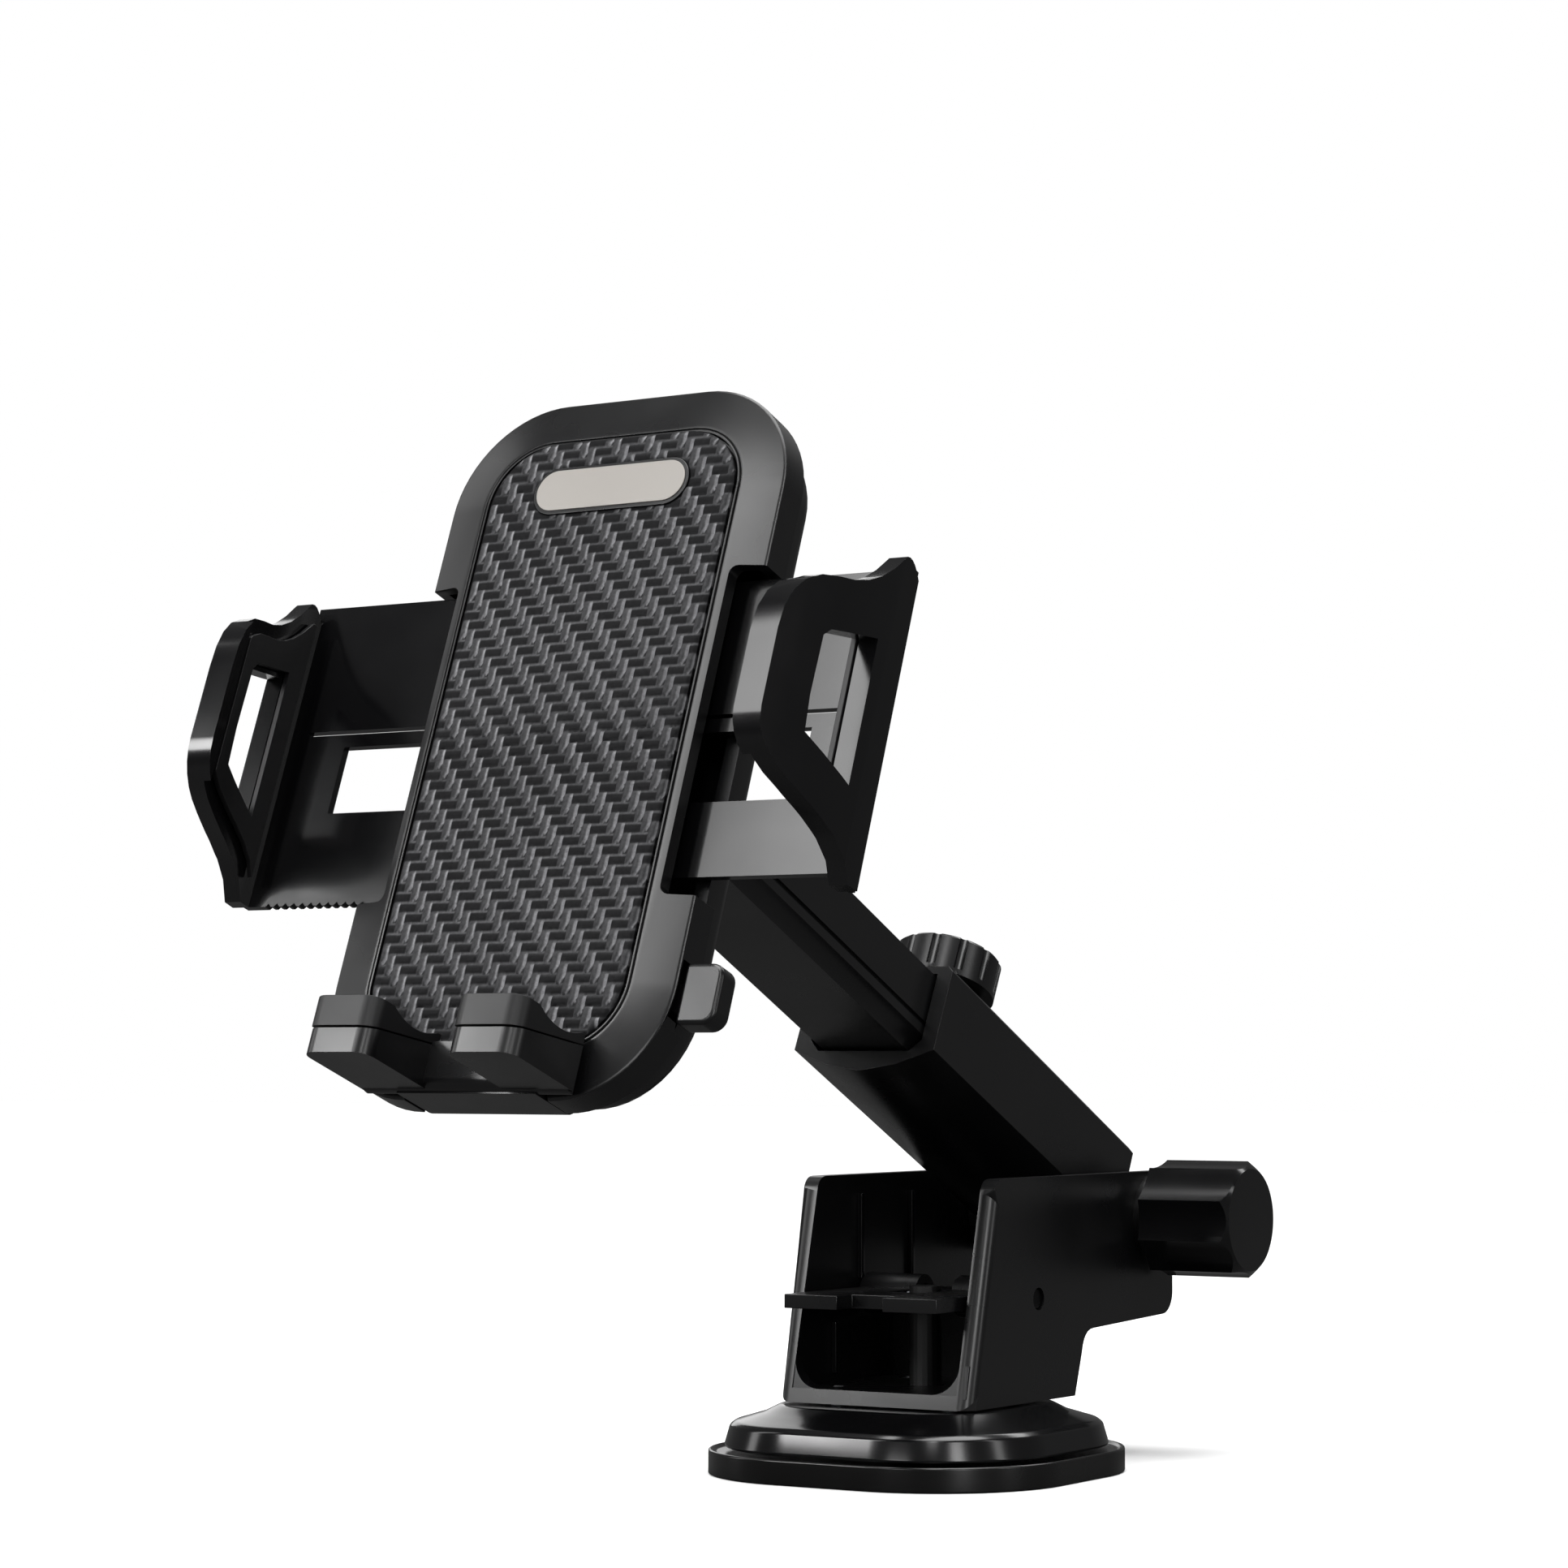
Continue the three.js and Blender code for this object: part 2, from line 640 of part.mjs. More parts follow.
// Plan band between two offsets from the jaw's inner face, mirrored for the right side.
function jawPlan(side, from, to, back, front) {
  const steps = 6;
  const points = [];
  const place = (y, offset) => {
    const share = Math.max(0, jawBack - y) / jawReach;
    return side * (jawPlace + offset - jawToe * share ** 1.6);
  };
  for (let i = 0; i <= steps; i += 1) {
    const y = back + ((front - back) * i) / steps;
    points.push([place(y, from), y]);
  }
  for (let i = steps; i >= 0; i -= 1) {
    const y = back + ((front - back) * i) / steps;
    points.push([place(y, to), y]);
  }
  return outline(side > 0 ? points.reverse() : points);
}

function jaw(side) {
  const front = jawBack - jawReach;
  const wall = upright(jawPlan(side, 0, jawWall, jawBack, front), -30, 30);
  const lip = upright(jawPlan(side, -jawLip, 1, front + 3, front), -30, 30);
  const profile = fromSide(jawOutline(), -80, 80, 5);
  const opening = fromSide(jawWindow(), -80, 80);
  return cut(common(join(wall, lip), profile), opening);
}

function jawPad(side) {
  const front = jawBack - jawReach;
  const band = upright(jawPlan(side, -0.9 - gap, -gap, jawBack - 2.5, front + 4), -30, 30);
  const profile = fromSide(jawOutline(), -80, 80, 5).scale(1, 0.93, 0.86);
  const opening = fromSide(jawWindow(), -80, 80).scale(1, 1.04, 1.08);
  return cut(common(band, profile), opening);
}

// A slide plate is a fork: its open window runs round the pinion.
function slidePlate(side, layer) {
  const outer = side * (jawPlace + 1);
  const inner = -side * slideInner;
  const x0 = Math.min(outer, inner);
  const x1 = Math.max(outer, inner);
  const low = side < 0 ? -slideHalf : -slideHalf + 3.6;
  const plate = box(x0, x1, layer, layer + slideThick, low, slideHalf);
  const w0 = Math.min(side * windowOuter, inner * 2);
  const w1 = Math.max(side * windowOuter, inner * 2);
  const opening = box(w0, w1, layer - 2, layer + 4, windowBottom, windowTop);
  const slot0 = Math.min(side * 51, inner * 2);
  const slot1 = Math.max(side * 51, inner * 2);
  const slit = box(slot0, slot1, layer - 2, layer + 4, windowTop + 2.2, windowTop + 2.9);
  const pitch = 1.7;
  const teeth = [];
  for (let i = 0; i < 12; i += 1) {
    const x = side * (jawPlace - 4 - i * pitch);
    const bite = new THREE.CylinderGeometry(0.55, 0.55, 6, 4);
    teeth.push(bite.translate(x, layer, -slideHalf));
  }
  return cut(plate, opening, slit, ...(side < 0 ? teeth : []));
}

// The root ties the jaw's wall to its slide plate, whichever layer the plate runs in.
function clamp(side, layer) {
  const x0 = Math.min(side * jawPlace, side * (jawPlace + 1));
  const root = box(x0, x0 + 1, jawBack - 0.5, layer + slideThick, -slideHalf + 1, slideHalf - 2);
  return join(jaw(side), slidePlate(side, layer), root);
}

piece(cradle, "clamp_left", clamp(-1, leftLayer), plastic);
piece(cradle, "clamp_right", clamp(1, rightLayer), plastic);
piece(cradle, "jaw_pad_left", jawPad(-1), rubber);
piece(cradle, "jaw_pad_right", jawPad(1), rubber);

function pinion() {
  const wheel = rodY(pinionRadius, leftLayer, rightLayer + slideThick, 0, pinionZ, 24);
  const hub = rodY(2.6, rightLayer, frameDepth + 2.6, 0, pinionZ, 16);
  const bore = rodY(1.5 + gap, 0, 20, 0, pinionZ, 16);
  return cut(join(wheel, hub), bore);
}

piece(cradle, "clamp_pinion", pinion(), plastic);
const axle = rodY(1.5, leftLayer + 0.1, frameDepth + gap + coverDepth - 2, 0, pinionZ, 16);
piece(cradle, "pinion_axle", axle, steel);
const clampSpring = coil(3.6, 0.35, 2, 1.6).translate(0, frameDepth + 0.5, pinionZ);
piece(cradle, "clamp_spring", clampSpring, steel);

// ---------------------------------------------------------------- release button and latch
function releaseButton() {
  const outside = cradleWidth / 2 + gap;
  const cap = box(outside, outside + 6.6, 1, 5.2, buttonLow, buttonHigh);
  const stem = box(18, outside + 1, 2.25, 4.6, buttonLow + 2.6, buttonHigh - 2.8);
  return join(cap, stem);
}

function latchPawl() {
  const arm = box(16, 17.6, 2.25, 4.6, -43.5, -27.4);
  const tip = box(14.4, 17, 2.25, 4.6, -30, -27.4);
  return join(arm, tip);
}

piece(cradle, "release_button", releaseButton(), plastic);
piece(cradle, "latch_pawl", latchPawl(), plastic);
const buttonSpring = coil(1.5, 0.3, 3, 5).rotateZ(Math.PI / 2).translate(15.2, 3.6, -41.5);
piece(cradle, "button_spring", buttonSpring, steel);

// ---------------------------------------------------------------- foot
const footBase = -cradleHeight / 2;

// Side outline of a foot: a shallow seat behind a step that the soft cap fills.
function footOutline() {
  const front = -footReach;
  const seat = footBase + footSeat;
  const shape = new THREE.Shape();
  shape.moveTo(-2.1, footBase + 0.6);
  shape.lineTo(-2.1, seat);
  shape.quadraticCurveTo(-9, seat - 1.6, front + 3, seat - 0.9);
  shape.lineTo(front + 3, seat + 0.4 - footPadDepth);
  shape.lineTo(front, seat + 0.4 - footPadDepth);
  shape.lineTo(front, footBase + 2);
  shape.quadraticCurveTo(front, footBase + 0.6, front + 2, footBase + 0.6);
  return shape;
}

function footBracket() {
  const feet = [-1, 1].map((side) => {
    const x = side * footSpacing;
    return fromSide(footOutline(), x - footWidth / 2, x + footWidth / 2, 4);
  });
  const apron = box(-19, 19, -1.2 - 2.6, -1.2 - gap - 0.2, footBase, footBase + 8);
  const neck = box(-neckHalf + gap, neckHalf - gap, -2, 8, footBase, footBase + 1.6);
  const tongue = box(-neckHalf + gap, neckHalf - gap, 6.4, 8, footBase, -33);
  return join(...feet, apron, neck, tongue);
}

function footCap(side) {
  const x = side * footSpacing;
  const front = -footReach;
  const seat = footBase + footSeat + gap;
  const shape = new THREE.Shape();
  shape.moveTo(-2.2, seat);
  shape.quadraticCurveTo(-9, seat - 1.6, front + 3 - gap, seat - 0.9);
  shape.lineTo(front + 3 - gap, seat + 0.4 - footPadDepth);
  shape.lineTo(front - 0.3, seat + 0.4 - footPadDepth);
  shape.lineTo(front - 0.3, seat + 0.2);
  shape.quadraticCurveTo(front, seat + 0.9, front + 1.4, seat + 0.8);
  shape.quadraticCurveTo(-11, seat - 0.8, -8, seat - 0.1);
  shape.lineTo(-2.2, seat + 0.8);
  return fromSide(shape, x - footWidth / 2, x + footWidth / 2, 4);
}

piece(cradle, "foot_bracket", footBracket(), plastic);
piece(cradle, "foot_cap_left", footCap(-1), rubber);
piece(cradle, "foot_cap_right", footCap(1), rubber);

const group = new THREE.Group();
group.add(base, arm, cradle);
export default group;
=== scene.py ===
import json
import math

import bpy
from mathutils import Matrix, Vector


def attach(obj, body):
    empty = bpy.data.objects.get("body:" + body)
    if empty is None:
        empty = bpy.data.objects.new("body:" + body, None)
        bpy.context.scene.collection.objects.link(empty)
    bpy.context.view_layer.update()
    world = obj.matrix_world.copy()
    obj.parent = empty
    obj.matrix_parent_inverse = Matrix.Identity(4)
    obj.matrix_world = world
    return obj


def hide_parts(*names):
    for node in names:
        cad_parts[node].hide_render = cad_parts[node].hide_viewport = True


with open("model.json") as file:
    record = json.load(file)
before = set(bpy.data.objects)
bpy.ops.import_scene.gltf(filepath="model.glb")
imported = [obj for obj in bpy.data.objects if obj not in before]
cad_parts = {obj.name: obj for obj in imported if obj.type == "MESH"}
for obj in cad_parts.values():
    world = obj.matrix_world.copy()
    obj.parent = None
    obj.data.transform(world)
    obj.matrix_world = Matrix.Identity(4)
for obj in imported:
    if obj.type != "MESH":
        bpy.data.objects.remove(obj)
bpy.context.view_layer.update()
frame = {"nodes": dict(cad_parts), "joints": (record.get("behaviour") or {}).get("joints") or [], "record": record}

MM = 0.001
DEGREE = math.pi / 180

# ------------------------------------------------------------------ places taken from the frame
NODES = frame["nodes"]
BODY_OF = {}
for body_name, members in frame["record"]["behaviour"]["bodies"].items():
    for member in members:
        BODY_OF[member] = body_name
SLOT_OF = {row["node"]: row["material_slot"] for row in frame["record"]["subparts"]}
JOINTS = {joint["name"]: joint for joint in frame["joints"]}

BALL = Vector(JOINTS["ball_tilt"]["pos_m"])
FACE = Vector(JOINTS["cradle_spin"]["axis"])  # out of the cradle, towards the phone
RISE = Vector((0, FACE.z, -FACE.y))  # up the cradle
HINGE = Vector(JOINTS["arm_lift"]["pos_m"])
OUT = Vector(JOINTS["arm_reach"]["axis"])  # out along the arm
ARM_UP = Vector((0, OUT.z, -OUT.y))
BALL_DEPTH = 25.3 * MM  # ball's centre behind the cradle's front edge
BALL_RISE = 1.13 * MM  # and above the cradle's middle
CRADLE = BALL + FACE * BALL_DEPTH - RISE * BALL_RISE  # middle of the cradle's front edge


def seat(x_axis, y_axis, z_axis, origin):
    """Turns a piece drawn in millimetres about its own axes into its place in the frame."""
    turn = Matrix((x_axis, y_axis, z_axis)).transposed().to_4x4()
    return Matrix.Translation(origin) @ turn @ Matrix.Scale(MM, 4)


# Drawn with x across, y up the cradle and z out towards the phone.
ON_CRADLE = seat((1, 0, 0), RISE, FACE, CRADLE)
# Drawn with x across, y back down the arm and z off the arm's upper face.
ON_ARM = seat((1, 0, 0), -OUT, ARM_UP, HINGE)
# Drawn with z out along the hinge bolt, towards the knob.
ON_HINGE = seat((0, 1, 0), (0, 0, 1), (1, 0, 0), HINGE)
# Drawn with x across, y off the arm's upper face and z out along the arm.
ON_LENGTH = seat((1, 0, 0), ARM_UP, OUT, HINGE)
ON_BASE = Matrix.Scale(MM, 4)


# ------------------------------------------------------------------ materials
def linear(code):
    """An sRGB hex colour as linear RGBA."""
    channels = [int(code[i:i + 2], 16) / 255 for i in (1, 3, 5)]
    turned = [c / 12.92 if c <= 0.04045 else ((c + 0.055) / 1.055) ** 2.4 for c in channels]
    return (*turned, 1)


def add(tree, kind, settings=None, links=None):
    """Adds one node with its settings; each link is a value or another node's output."""
    made = tree.nodes.new(kind)
    for name, value in (settings or {}).items():
        setattr(made, name, value)
    for name, source in (links or {}).items():
        if isinstance(source, bpy.types.NodeSocket):
            tree.links.new(source, made.inputs[name])
        else:
            made.inputs[name].default_value = source
    return made


def blank(name):
    """A new node material with only its output, and the piece's own coordinates."""
    material = bpy.data.materials.new(name)
    material.use_nodes = True
    tree = material.node_tree
    tree.nodes.clear()
    output = add(tree, "ShaderNodeOutputMaterial")
    place = add(tree, "ShaderNodeTexCoord").outputs["Object"]
    return material, tree, output, place


def moulded(name, dark, light, rough_low, rough_high, grain_mm, grain_depth, ior):
    """Moulded plastic or rubber: a fine eroded grain, and a slow change of tone and gloss."""
    material, tree, output, place = blank(name)
    grain = add(tree, "ShaderNodeTexNoise", {}, {
        "Vector": place,
        "Scale": 1 / (grain_mm * MM),
        "Detail": 2.0,
        "Roughness": 0.6,
    })
    flow = add(tree, "ShaderNodeTexNoise", {}, {
        "Vector": place,
        "Scale": 1 / (22 * MM),
        "Detail": 3.0,
        "Roughness": 0.55,
    })
    tone = add(tree, "ShaderNodeMix", {"data_type": "RGBA"}, {
        "Factor": flow.outputs["Fac"],
        "A": linear(dark),
        "B": linear(light),
    })
    gloss = add(tree, "ShaderNodeMapRange", {}, {
        "Value": flow.outputs["Fac"],
        "From Min": 0.3,
        "From Max": 0.7,
        "To Min": rough_low,
        "To Max": rough_high,
    })
    relief = add(tree, "ShaderNodeBump", {}, {
        "Strength": 0.5,
        "Distance": grain_depth * MM,
        "Height": grain.outputs["Fac"],
    })
    shader = add(tree, "ShaderNodeBsdfPrincipled", {}, {
        "Base Color": tone.outputs["Result"],
        "Roughness": gloss.outputs["Result"],
        "IOR": ior,
        "Normal": relief.outputs["Normal"],
    })
    tree.links.new(shader.outputs["BSDF"], output.inputs["Surface"])
    return material


def satin_abs():
    # Injection-moulded ABS from a lightly eroded tool: black, with a soft satin sheen.
    return moulded("satin_black_abs", "#070708", "#0C0C0D", 0.25, 0.33, 0.35, 0.004, 1.5)


def polished_abs():
    # The same ABS from a polished tool: deeper black with clear highlights.
    return moulded("polished_black_abs", "#050506", "#09090A", 0.13, 0.2, 0.6, 0.002, 1.5)


def inner_abs():
    # ABS on surfaces left as the tool cut them: dull and very dark.
    return moulded("dull_black_abs", "#060606", "#0A0A0B", 0.5, 0.62, 0.4, 0.01, 1.53)


def suction_rubber():
    # Thermoplastic rubber cast in a polished mould, so that it seals: black and softly glossy.
    return moulded("polished_black_rubber", "#060606", "#0B0B0B", 0.2, 0.28, 0.5, 0.003, 1.5)


def silicone():
    # Moulded silicone with a matt, grippy skin.
    return moulded("matt_black_silicone", "#0D0D0E", "#131314", 0.36, 0.46, 0.3, 0.006, 1.41)


def metal(name, colour, mark_mm, rough_low, rough_high):
    """Bare metal: fine tool marks that change its gloss."""
    material, tree, output, place = blank(name)
    marks = add(tree, "ShaderNodeTexNoise", {}, {
        "Vector": place,
        "Scale": 1 / (mark_mm * MM),
        "Detail": 3.0,
    })
    gloss = add(tree, "ShaderNodeMapRange", {}, {
        "Value": marks.outputs["Fac"],
        "To Min": rough_low,
        "To Max": rough_high,
    })
    shader = add(tree, "ShaderNodeBsdfPrincipled", {}, {
        "Base Color": linear(colour),
        "Metallic": 1.0,
        "Roughness": gloss.outputs["Result"],
    })
    tree.links.new(shader.outputs["BSDF"], output.inputs["Surface"])
    return material


def plated_steel():
    # Zinc-plated steel: a bright metal with fine turning marks.
    return metal("zinc_plated_steel", "#B9BCC0", 0.5, 0.22, 0.4)


def blackened_steel():
    # Oil-blackened steel, for the lever pin whose ends show at the housing's sides.
    return metal("blackened_steel", "#1A1A1C", 0.4, 0.3, 0.45)


def turned_brass():
    # Turned brass insert: warm metal, with tool marks round its axis.
    return metal("turned_brass", "#B8995A", 0.4, 0.25, 0.42)


def embossed_film():
    # Embossed PVC film in a two-and-two twill: black, with a painted highlight mixed into the base colour along
    # one edge of each lengthwise thread and thinly along each crosswise one; the same values raise the specular
    # level there and lower it on the dark bricks, a painted shade.
    material, tree, output, place = blank("embossed_twill_film")
    # Reads the painted highlight that the panel's mesh carries in its thread attribute.
    thread = add(tree, "ShaderNodeAttribute", {"attribute_name": "thread"})
    fibre = add(tree, "ShaderNodeTexNoise", {}, {
        "Vector": place,
        "Scale": 1 / (0.6 * MM),
        "Detail": 4.0,
        "Roughness": 0.7,
    })
    uneven = add(tree, "ShaderNodeMapRange", {}, {
        "Value": fibre.outputs["Fac"],
        "From Min": 0.3,
        "From Max": 0.7,
        "To Min": 0.55,
        "To Max": 1.15,
    })
    # The painted highlight, made uneven by the fibre noise.
    painted_light_share = add(tree, "ShaderNodeMath", {"operation": "MULTIPLY", "use_clamp": True}, {
        0: thread.outputs["Fac"],
        1: uneven.outputs["Result"],
    })
    # Painted highlight mixed into the base colour: black film where it is nil, light grey where it is full.
    tone = add(tree, "ShaderNodeMix", {"data_type": "RGBA"}, {
        "Factor": painted_light_share.outputs["Value"],
        "A": linear("#040405"),
        "B": linear("#A6A6AA"),
    })
    gloss = add(tree, "ShaderNodeMapRange", {}, {
        "Value": painted_light_share.outputs["Value"],
        "To Min": 0.6,
        "To Max": 0.22,
    })
    relief = add(tree, "ShaderNodeBump", {}, {
        "Strength": 0.4,
        "Distance": 0.03 * MM,
        "Height": fibre.outputs["Fac"],
    })
    # Specular level follows the same painted mark: raised on the painted highlights, lowered to a painted shade in
    # the grooves.
    painted_sheen = add(tree, "ShaderNodeMapRange", {}, {
        "Value": painted_light_share.outputs["Value"],
        "From Max": 0.5,
        "To Min": 0.06,
        "To Max": 0.8,
    })
    shader = add(tree, "ShaderNodeBsdfPrincipled", {}, {
        "Base Color": tone.outputs["Result"],
        "Roughness": gloss.outputs["Result"],
        "Specular IOR Level": painted_sheen.outputs["Result"],
        "IOR": 1.5,
        "Normal": relief.outputs["Normal"],
    })
    tree.links.new(shader.outputs["BSDF"], output.inputs["Surface"])
    return material


def badge_enamel():
    # Sprayed enamel on a small plate: warm grey, even, with a slight orange-peel.
    return moulded("warm_grey_enamel", "#8A8681", "#928E89", 0.4, 0.46, 0.8, 0.003, 1.5)


LOOKS = {
    "satin": satin_abs(),
    "polished": polished_abs(),
    "inner": inner_abs(),
    "suction": suction_rubber(),
    "silicone": silicone(),
    "steel": plated_steel(),
    "blackened": blackened_steel(),
    "brass": turned_brass(),
    "film": embossed_film(),
    "enamel": badge_enamel(),
}


# ------------------------------------------------------------------ modelling
def only(piece):
    """Leaves one piece selected and active."""
    bpy.ops.object.select_all(action="DESELECT")
    piece.select_set(True)
    bpy.context.view_layer.objects.active = piece


def settle(piece, place=Matrix.Identity(4)):
    """Puts the piece's place into its mesh, with its object at the origin."""
    bpy.context.view_layer.update()
    piece.data.transform(place @ piece.matrix_world)
    piece.matrix_world = Matrix.Identity(4)
    return piece


def leave_edit():
    """Back to object mode, with the edits in the mesh."""
    bpy.ops.object.mode_set(mode="OBJECT")


def apply_modifier(piece, kind, **settings):
    """Adds a modifier with its settings and applies it."""
    only(piece)
    modifier = piece.modifiers.new(kind.lower(), kind)
    for name, value in settings.items():
        setattr(modifier, name, value)
    bpy.ops.object.modifier_apply(modifier=modifier.name)


def smooth(piece, angle=35):
    """Smooth shading over gentle edges, sharp over the rest, with flat faces kept flat."""
    only(piece)
    bpy.ops.object.shade_smooth_by_angle(angle=angle * DEGREE)
    apply_modifier(piece, "WEIGHTED_NORMAL", keep_sharp=True, weight=80)


def dress(piece, look, body, slot, *nodes):
    """Gives a finished piece its material and its body, and hides the nodes it stands for; its slot is not used.
    """
    piece.data.materials.clear()
    piece.data.materials.append(LOOKS[look])
    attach(piece, body)
    if nodes:
        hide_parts(*nodes)
    return piece


MERGE_DISTANCE = 0.002
FLAT_ANGLE = 0.6 * DEGREE


def cad_copy(node):
    """A copy of a CAD shape in millimetres, with its triangles merged into whole faces."""
    piece = bpy.data.objects.new(node + "_finish", NODES[node].data.copy())
    bpy.context.scene.collection.objects.link(piece)
    piece.data.transform(Matrix.Scale(1 / MM, 4))
    only(piece)
    bpy.ops.object.mode_set(mode="EDIT")
    bpy.ops.mesh.select_all(action="SELECT")
    bpy.ops.mesh.remove_doubles(threshold=MERGE_DISTANCE)
    bpy.ops.mesh.dissolve_limited(angle_limit=FLAT_ANGLE)
    leave_edit()
    return piece


def edged(node, look, edge):
    """A CAD shape with its edges rounded as the mould leaves them."""
    piece = cad_copy(node)
    round_edges(piece, edge)
    settle(piece, ON_BASE)
    smooth(piece)
    return dress(piece, look, BODY_OF[node], SLOT_OF[node], node)


def pick_faces(piece, wanted):
    """Selects the faces whose centre and normal pass a test, and leaves edit mode on."""
    only(piece)
    bpy.ops.object.mode_set(mode="EDIT")
    bpy.ops.mesh.select_mode(type="FACE")
    bpy.ops.mesh.select_all(action="DESELECT")
    bpy.ops.object.mode_set(mode="OBJECT")
    for face in piece.data.polygons:
        face.select = wanted(face.center, face.normal)
    bpy.ops.object.mode_set(mode="EDIT")


def pick_edges(piece, wanted):
    """Selects the edges whose two ends pass a test, and leaves edit mode on."""
    only(piece)
    bpy.ops.object.mode_set(mode="EDIT")
    bpy.ops.mesh.select_mode(type="EDGE")
    bpy.ops.mesh.select_all(action="DESELECT")
    bpy.ops.object.mode_set(mode="OBJECT")
    points = piece.data.vertices
    for edge in piece.data.edges:
        first, second = (points[i].co for i in edge.vertices)
        edge.select = wanted(first, second)
    bpy.ops.object.mode_set(mode="EDIT")


def block(name, x0, x1, y0, y1, z0, z1):
    """A plain block between corners, to be shaped further or used as a cutter."""
    bpy.ops.object.select_all(action="DESELECT")
    place = ((x0 + x1) / 2, (y0 + y1) / 2, (z0 + z1) / 2)
    bpy.ops.mesh.primitive_cube_add(size=1, location=place)
    piece = bpy.context.active_object
    piece.name = name
    piece.scale = (x1 - x0, y1 - y0, z1 - z0)
    return settle(piece)


def slab(name, width, height, corner, low, high, segments=14):
    """A rounded rectangle in x and y, from low to high in z."""
    piece = block(name, -width / 2, width / 2, -height / 2, height / 2, low, high)
    pick_edges(piece, lambda a, b: abs(a.z - b.z) > 0.01)
    bpy.ops.mesh.bevel(offset=corner, segments=segments, affect="EDGES")
    leave_edit()
    return piece


def step_in(inset, rise):
    """Insets the selected face and moves the new face along its normal."""
    bpy.ops.mesh.inset(thickness=inset, depth=rise)


def rod(name, radius, low, high, x=0, y=0, sides=48):
    """A round bar along z."""
    bpy.ops.object.select_all(action="DESELECT")
    bpy.ops.mesh.primitive_cylinder_add(
        vertices=sides, radius=radius, depth=high - low, location=(x, y, (low + high) / 2),
    )
    piece = bpy.context.active_object
    piece.name = name
    return settle(piece)


def cut(piece, *tools):
    """Cuts each tool's shape out of the piece, then removes the tool."""
    for tool in tools:
        apply_modifier(piece, "BOOLEAN", operation="DIFFERENCE", object=tool, solver="EXACT")
        bpy.data.objects.remove(tool)


def join(piece, *others):
    """Melts the others into the piece."""
    for other in others:
        apply_modifier(piece, "BOOLEAN", operation="UNION", object=other, solver="EXACT")
        bpy.data.objects.remove(other)


def round_edges(piece, radius, segments=2, angle=28):
    """Rounds every edge sharper than the angle, as the mould leaves it."""
    apply_modifier(
        piece, "BEVEL", width=radius, segments=segments, limit_method="ANGLE",
        angle_limit=angle * DEGREE, use_clamp_overlap=True, miter_outer="MITER_ARC",
    )


# ------------------------------------------------------------------ pieces kept from the CAD shape
def finish_cad_shapes():
    """Rounded copies of the CAD shapes: node, finish and edge radius in millimetres."""
    for node, look, edge in (
        ("lock_lever", "satin", 0.3),
        ("arm_sleeve", "satin", 0.6),
        ("ball_stud", "polished", 0.2),
        ("rear_cover", "satin", 0.35),
        ("ball_nut", "satin", 0.4),
        ("clamp_left", "polished", 0.45),
        ("clamp_right", "polished", 0.45),
        ("jaw_pad_left", "silicone", 0.15),
        ("jaw_pad_right", "silicone", 0.15),
    ):
        edged(node, look, edge)


def paint_hidden_nodes():
    """CAD nodes that stay as they are, mostly inside: only their material changes."""
    looks = {
        "satin_abs": "inner",
        "soft_rubber": "suction",
        "firm_rubber": "silicone",
        "zinc_steel": "steel",
        "turned_brass": "brass",
        "embossed_panel": "film",
        "badge_paint": "enamel",
    }
    for node, piece in NODES.items():
        piece.data.materials.clear()
        look = "blackened" if node == "lever_pin" else looks[SLOT_OF[node]]
        piece.data.materials.append(LOOKS[look])


# ------------------------------------------------------------------ twill panel
THREAD = 1.53  # width of a lengthwise thread
PICK = 1.70  # height of a crosswise thread
PANEL_WIDTH = 45.8
PANEL_HEIGHT = 101.2
PANEL_CORNER = 10.6
PANEL_FRONT = 1.1
PANEL_BACK = 0.6
PANEL_COLUMNS = 240
PANEL_ROWS = 300
RELIEF = 0.5  # height of the threads
EDGE_FADE = 0.6  # the threads flatten this far inside the panel's edge
BADGE_FADE = 0.3
BADGE_WIDTH = 29
BADGE_HEIGHT = 8.2
BADGE_RISE = 42


def twill(across, up):
    """Height (0 to 1) and painted highlight strength (0 to 1) of the two-and-two twill at a place on the panel."""
    column = across / THREAD
    row = -up / PICK
    i = math.floor(column)
    j = math.floor(row)
    fx = column - i
    fy = row - j
    k = (i - j) % 4
    if k < 2:  # a lengthwise thread lies on top, with a painted highlight along one edge
        along = (1 - k + fy) / 2
        right = 0.95 - 0.5 * max(0, (along - 0.55) / 0.45) ** 2
        half = (right - 0.04) / 2
        over = (fx - 0.04 - half) / half
        crown = math.sqrt(max(0, 1 - over * over)) * (1 - 0.55 * (2 * along - 1) ** 4)
        # Painted highlight: a bright band along the thread's right edge over a faint painted grey, lower still in
        # the gap beside it, a painted shade.
        painted_light = 0.08 + 0.62 * math.exp(-((fx - right) / 0.12) ** 2) * (1 - abs(2 * along - 1) ** 6)
        if over > 1.15:
            painted_light = 0.04
        return crown, painted_light
    # A crosswise thread lies on top, lower, with only a thin painted highlight near its upper edge.
    along = (k - 2 + fx) / 2
    over = (fy - 0.5) / 0.5
    crown = 0.55 * math.sqrt(max(0, 1 - over * over)) * (1 - 0.5 * (2 * along - 1) ** 4)
    painted_light = 0.012 + 0.14 * math.exp(-((fy - 0.08) / 0.1) ** 2)
    return crown, painted_light


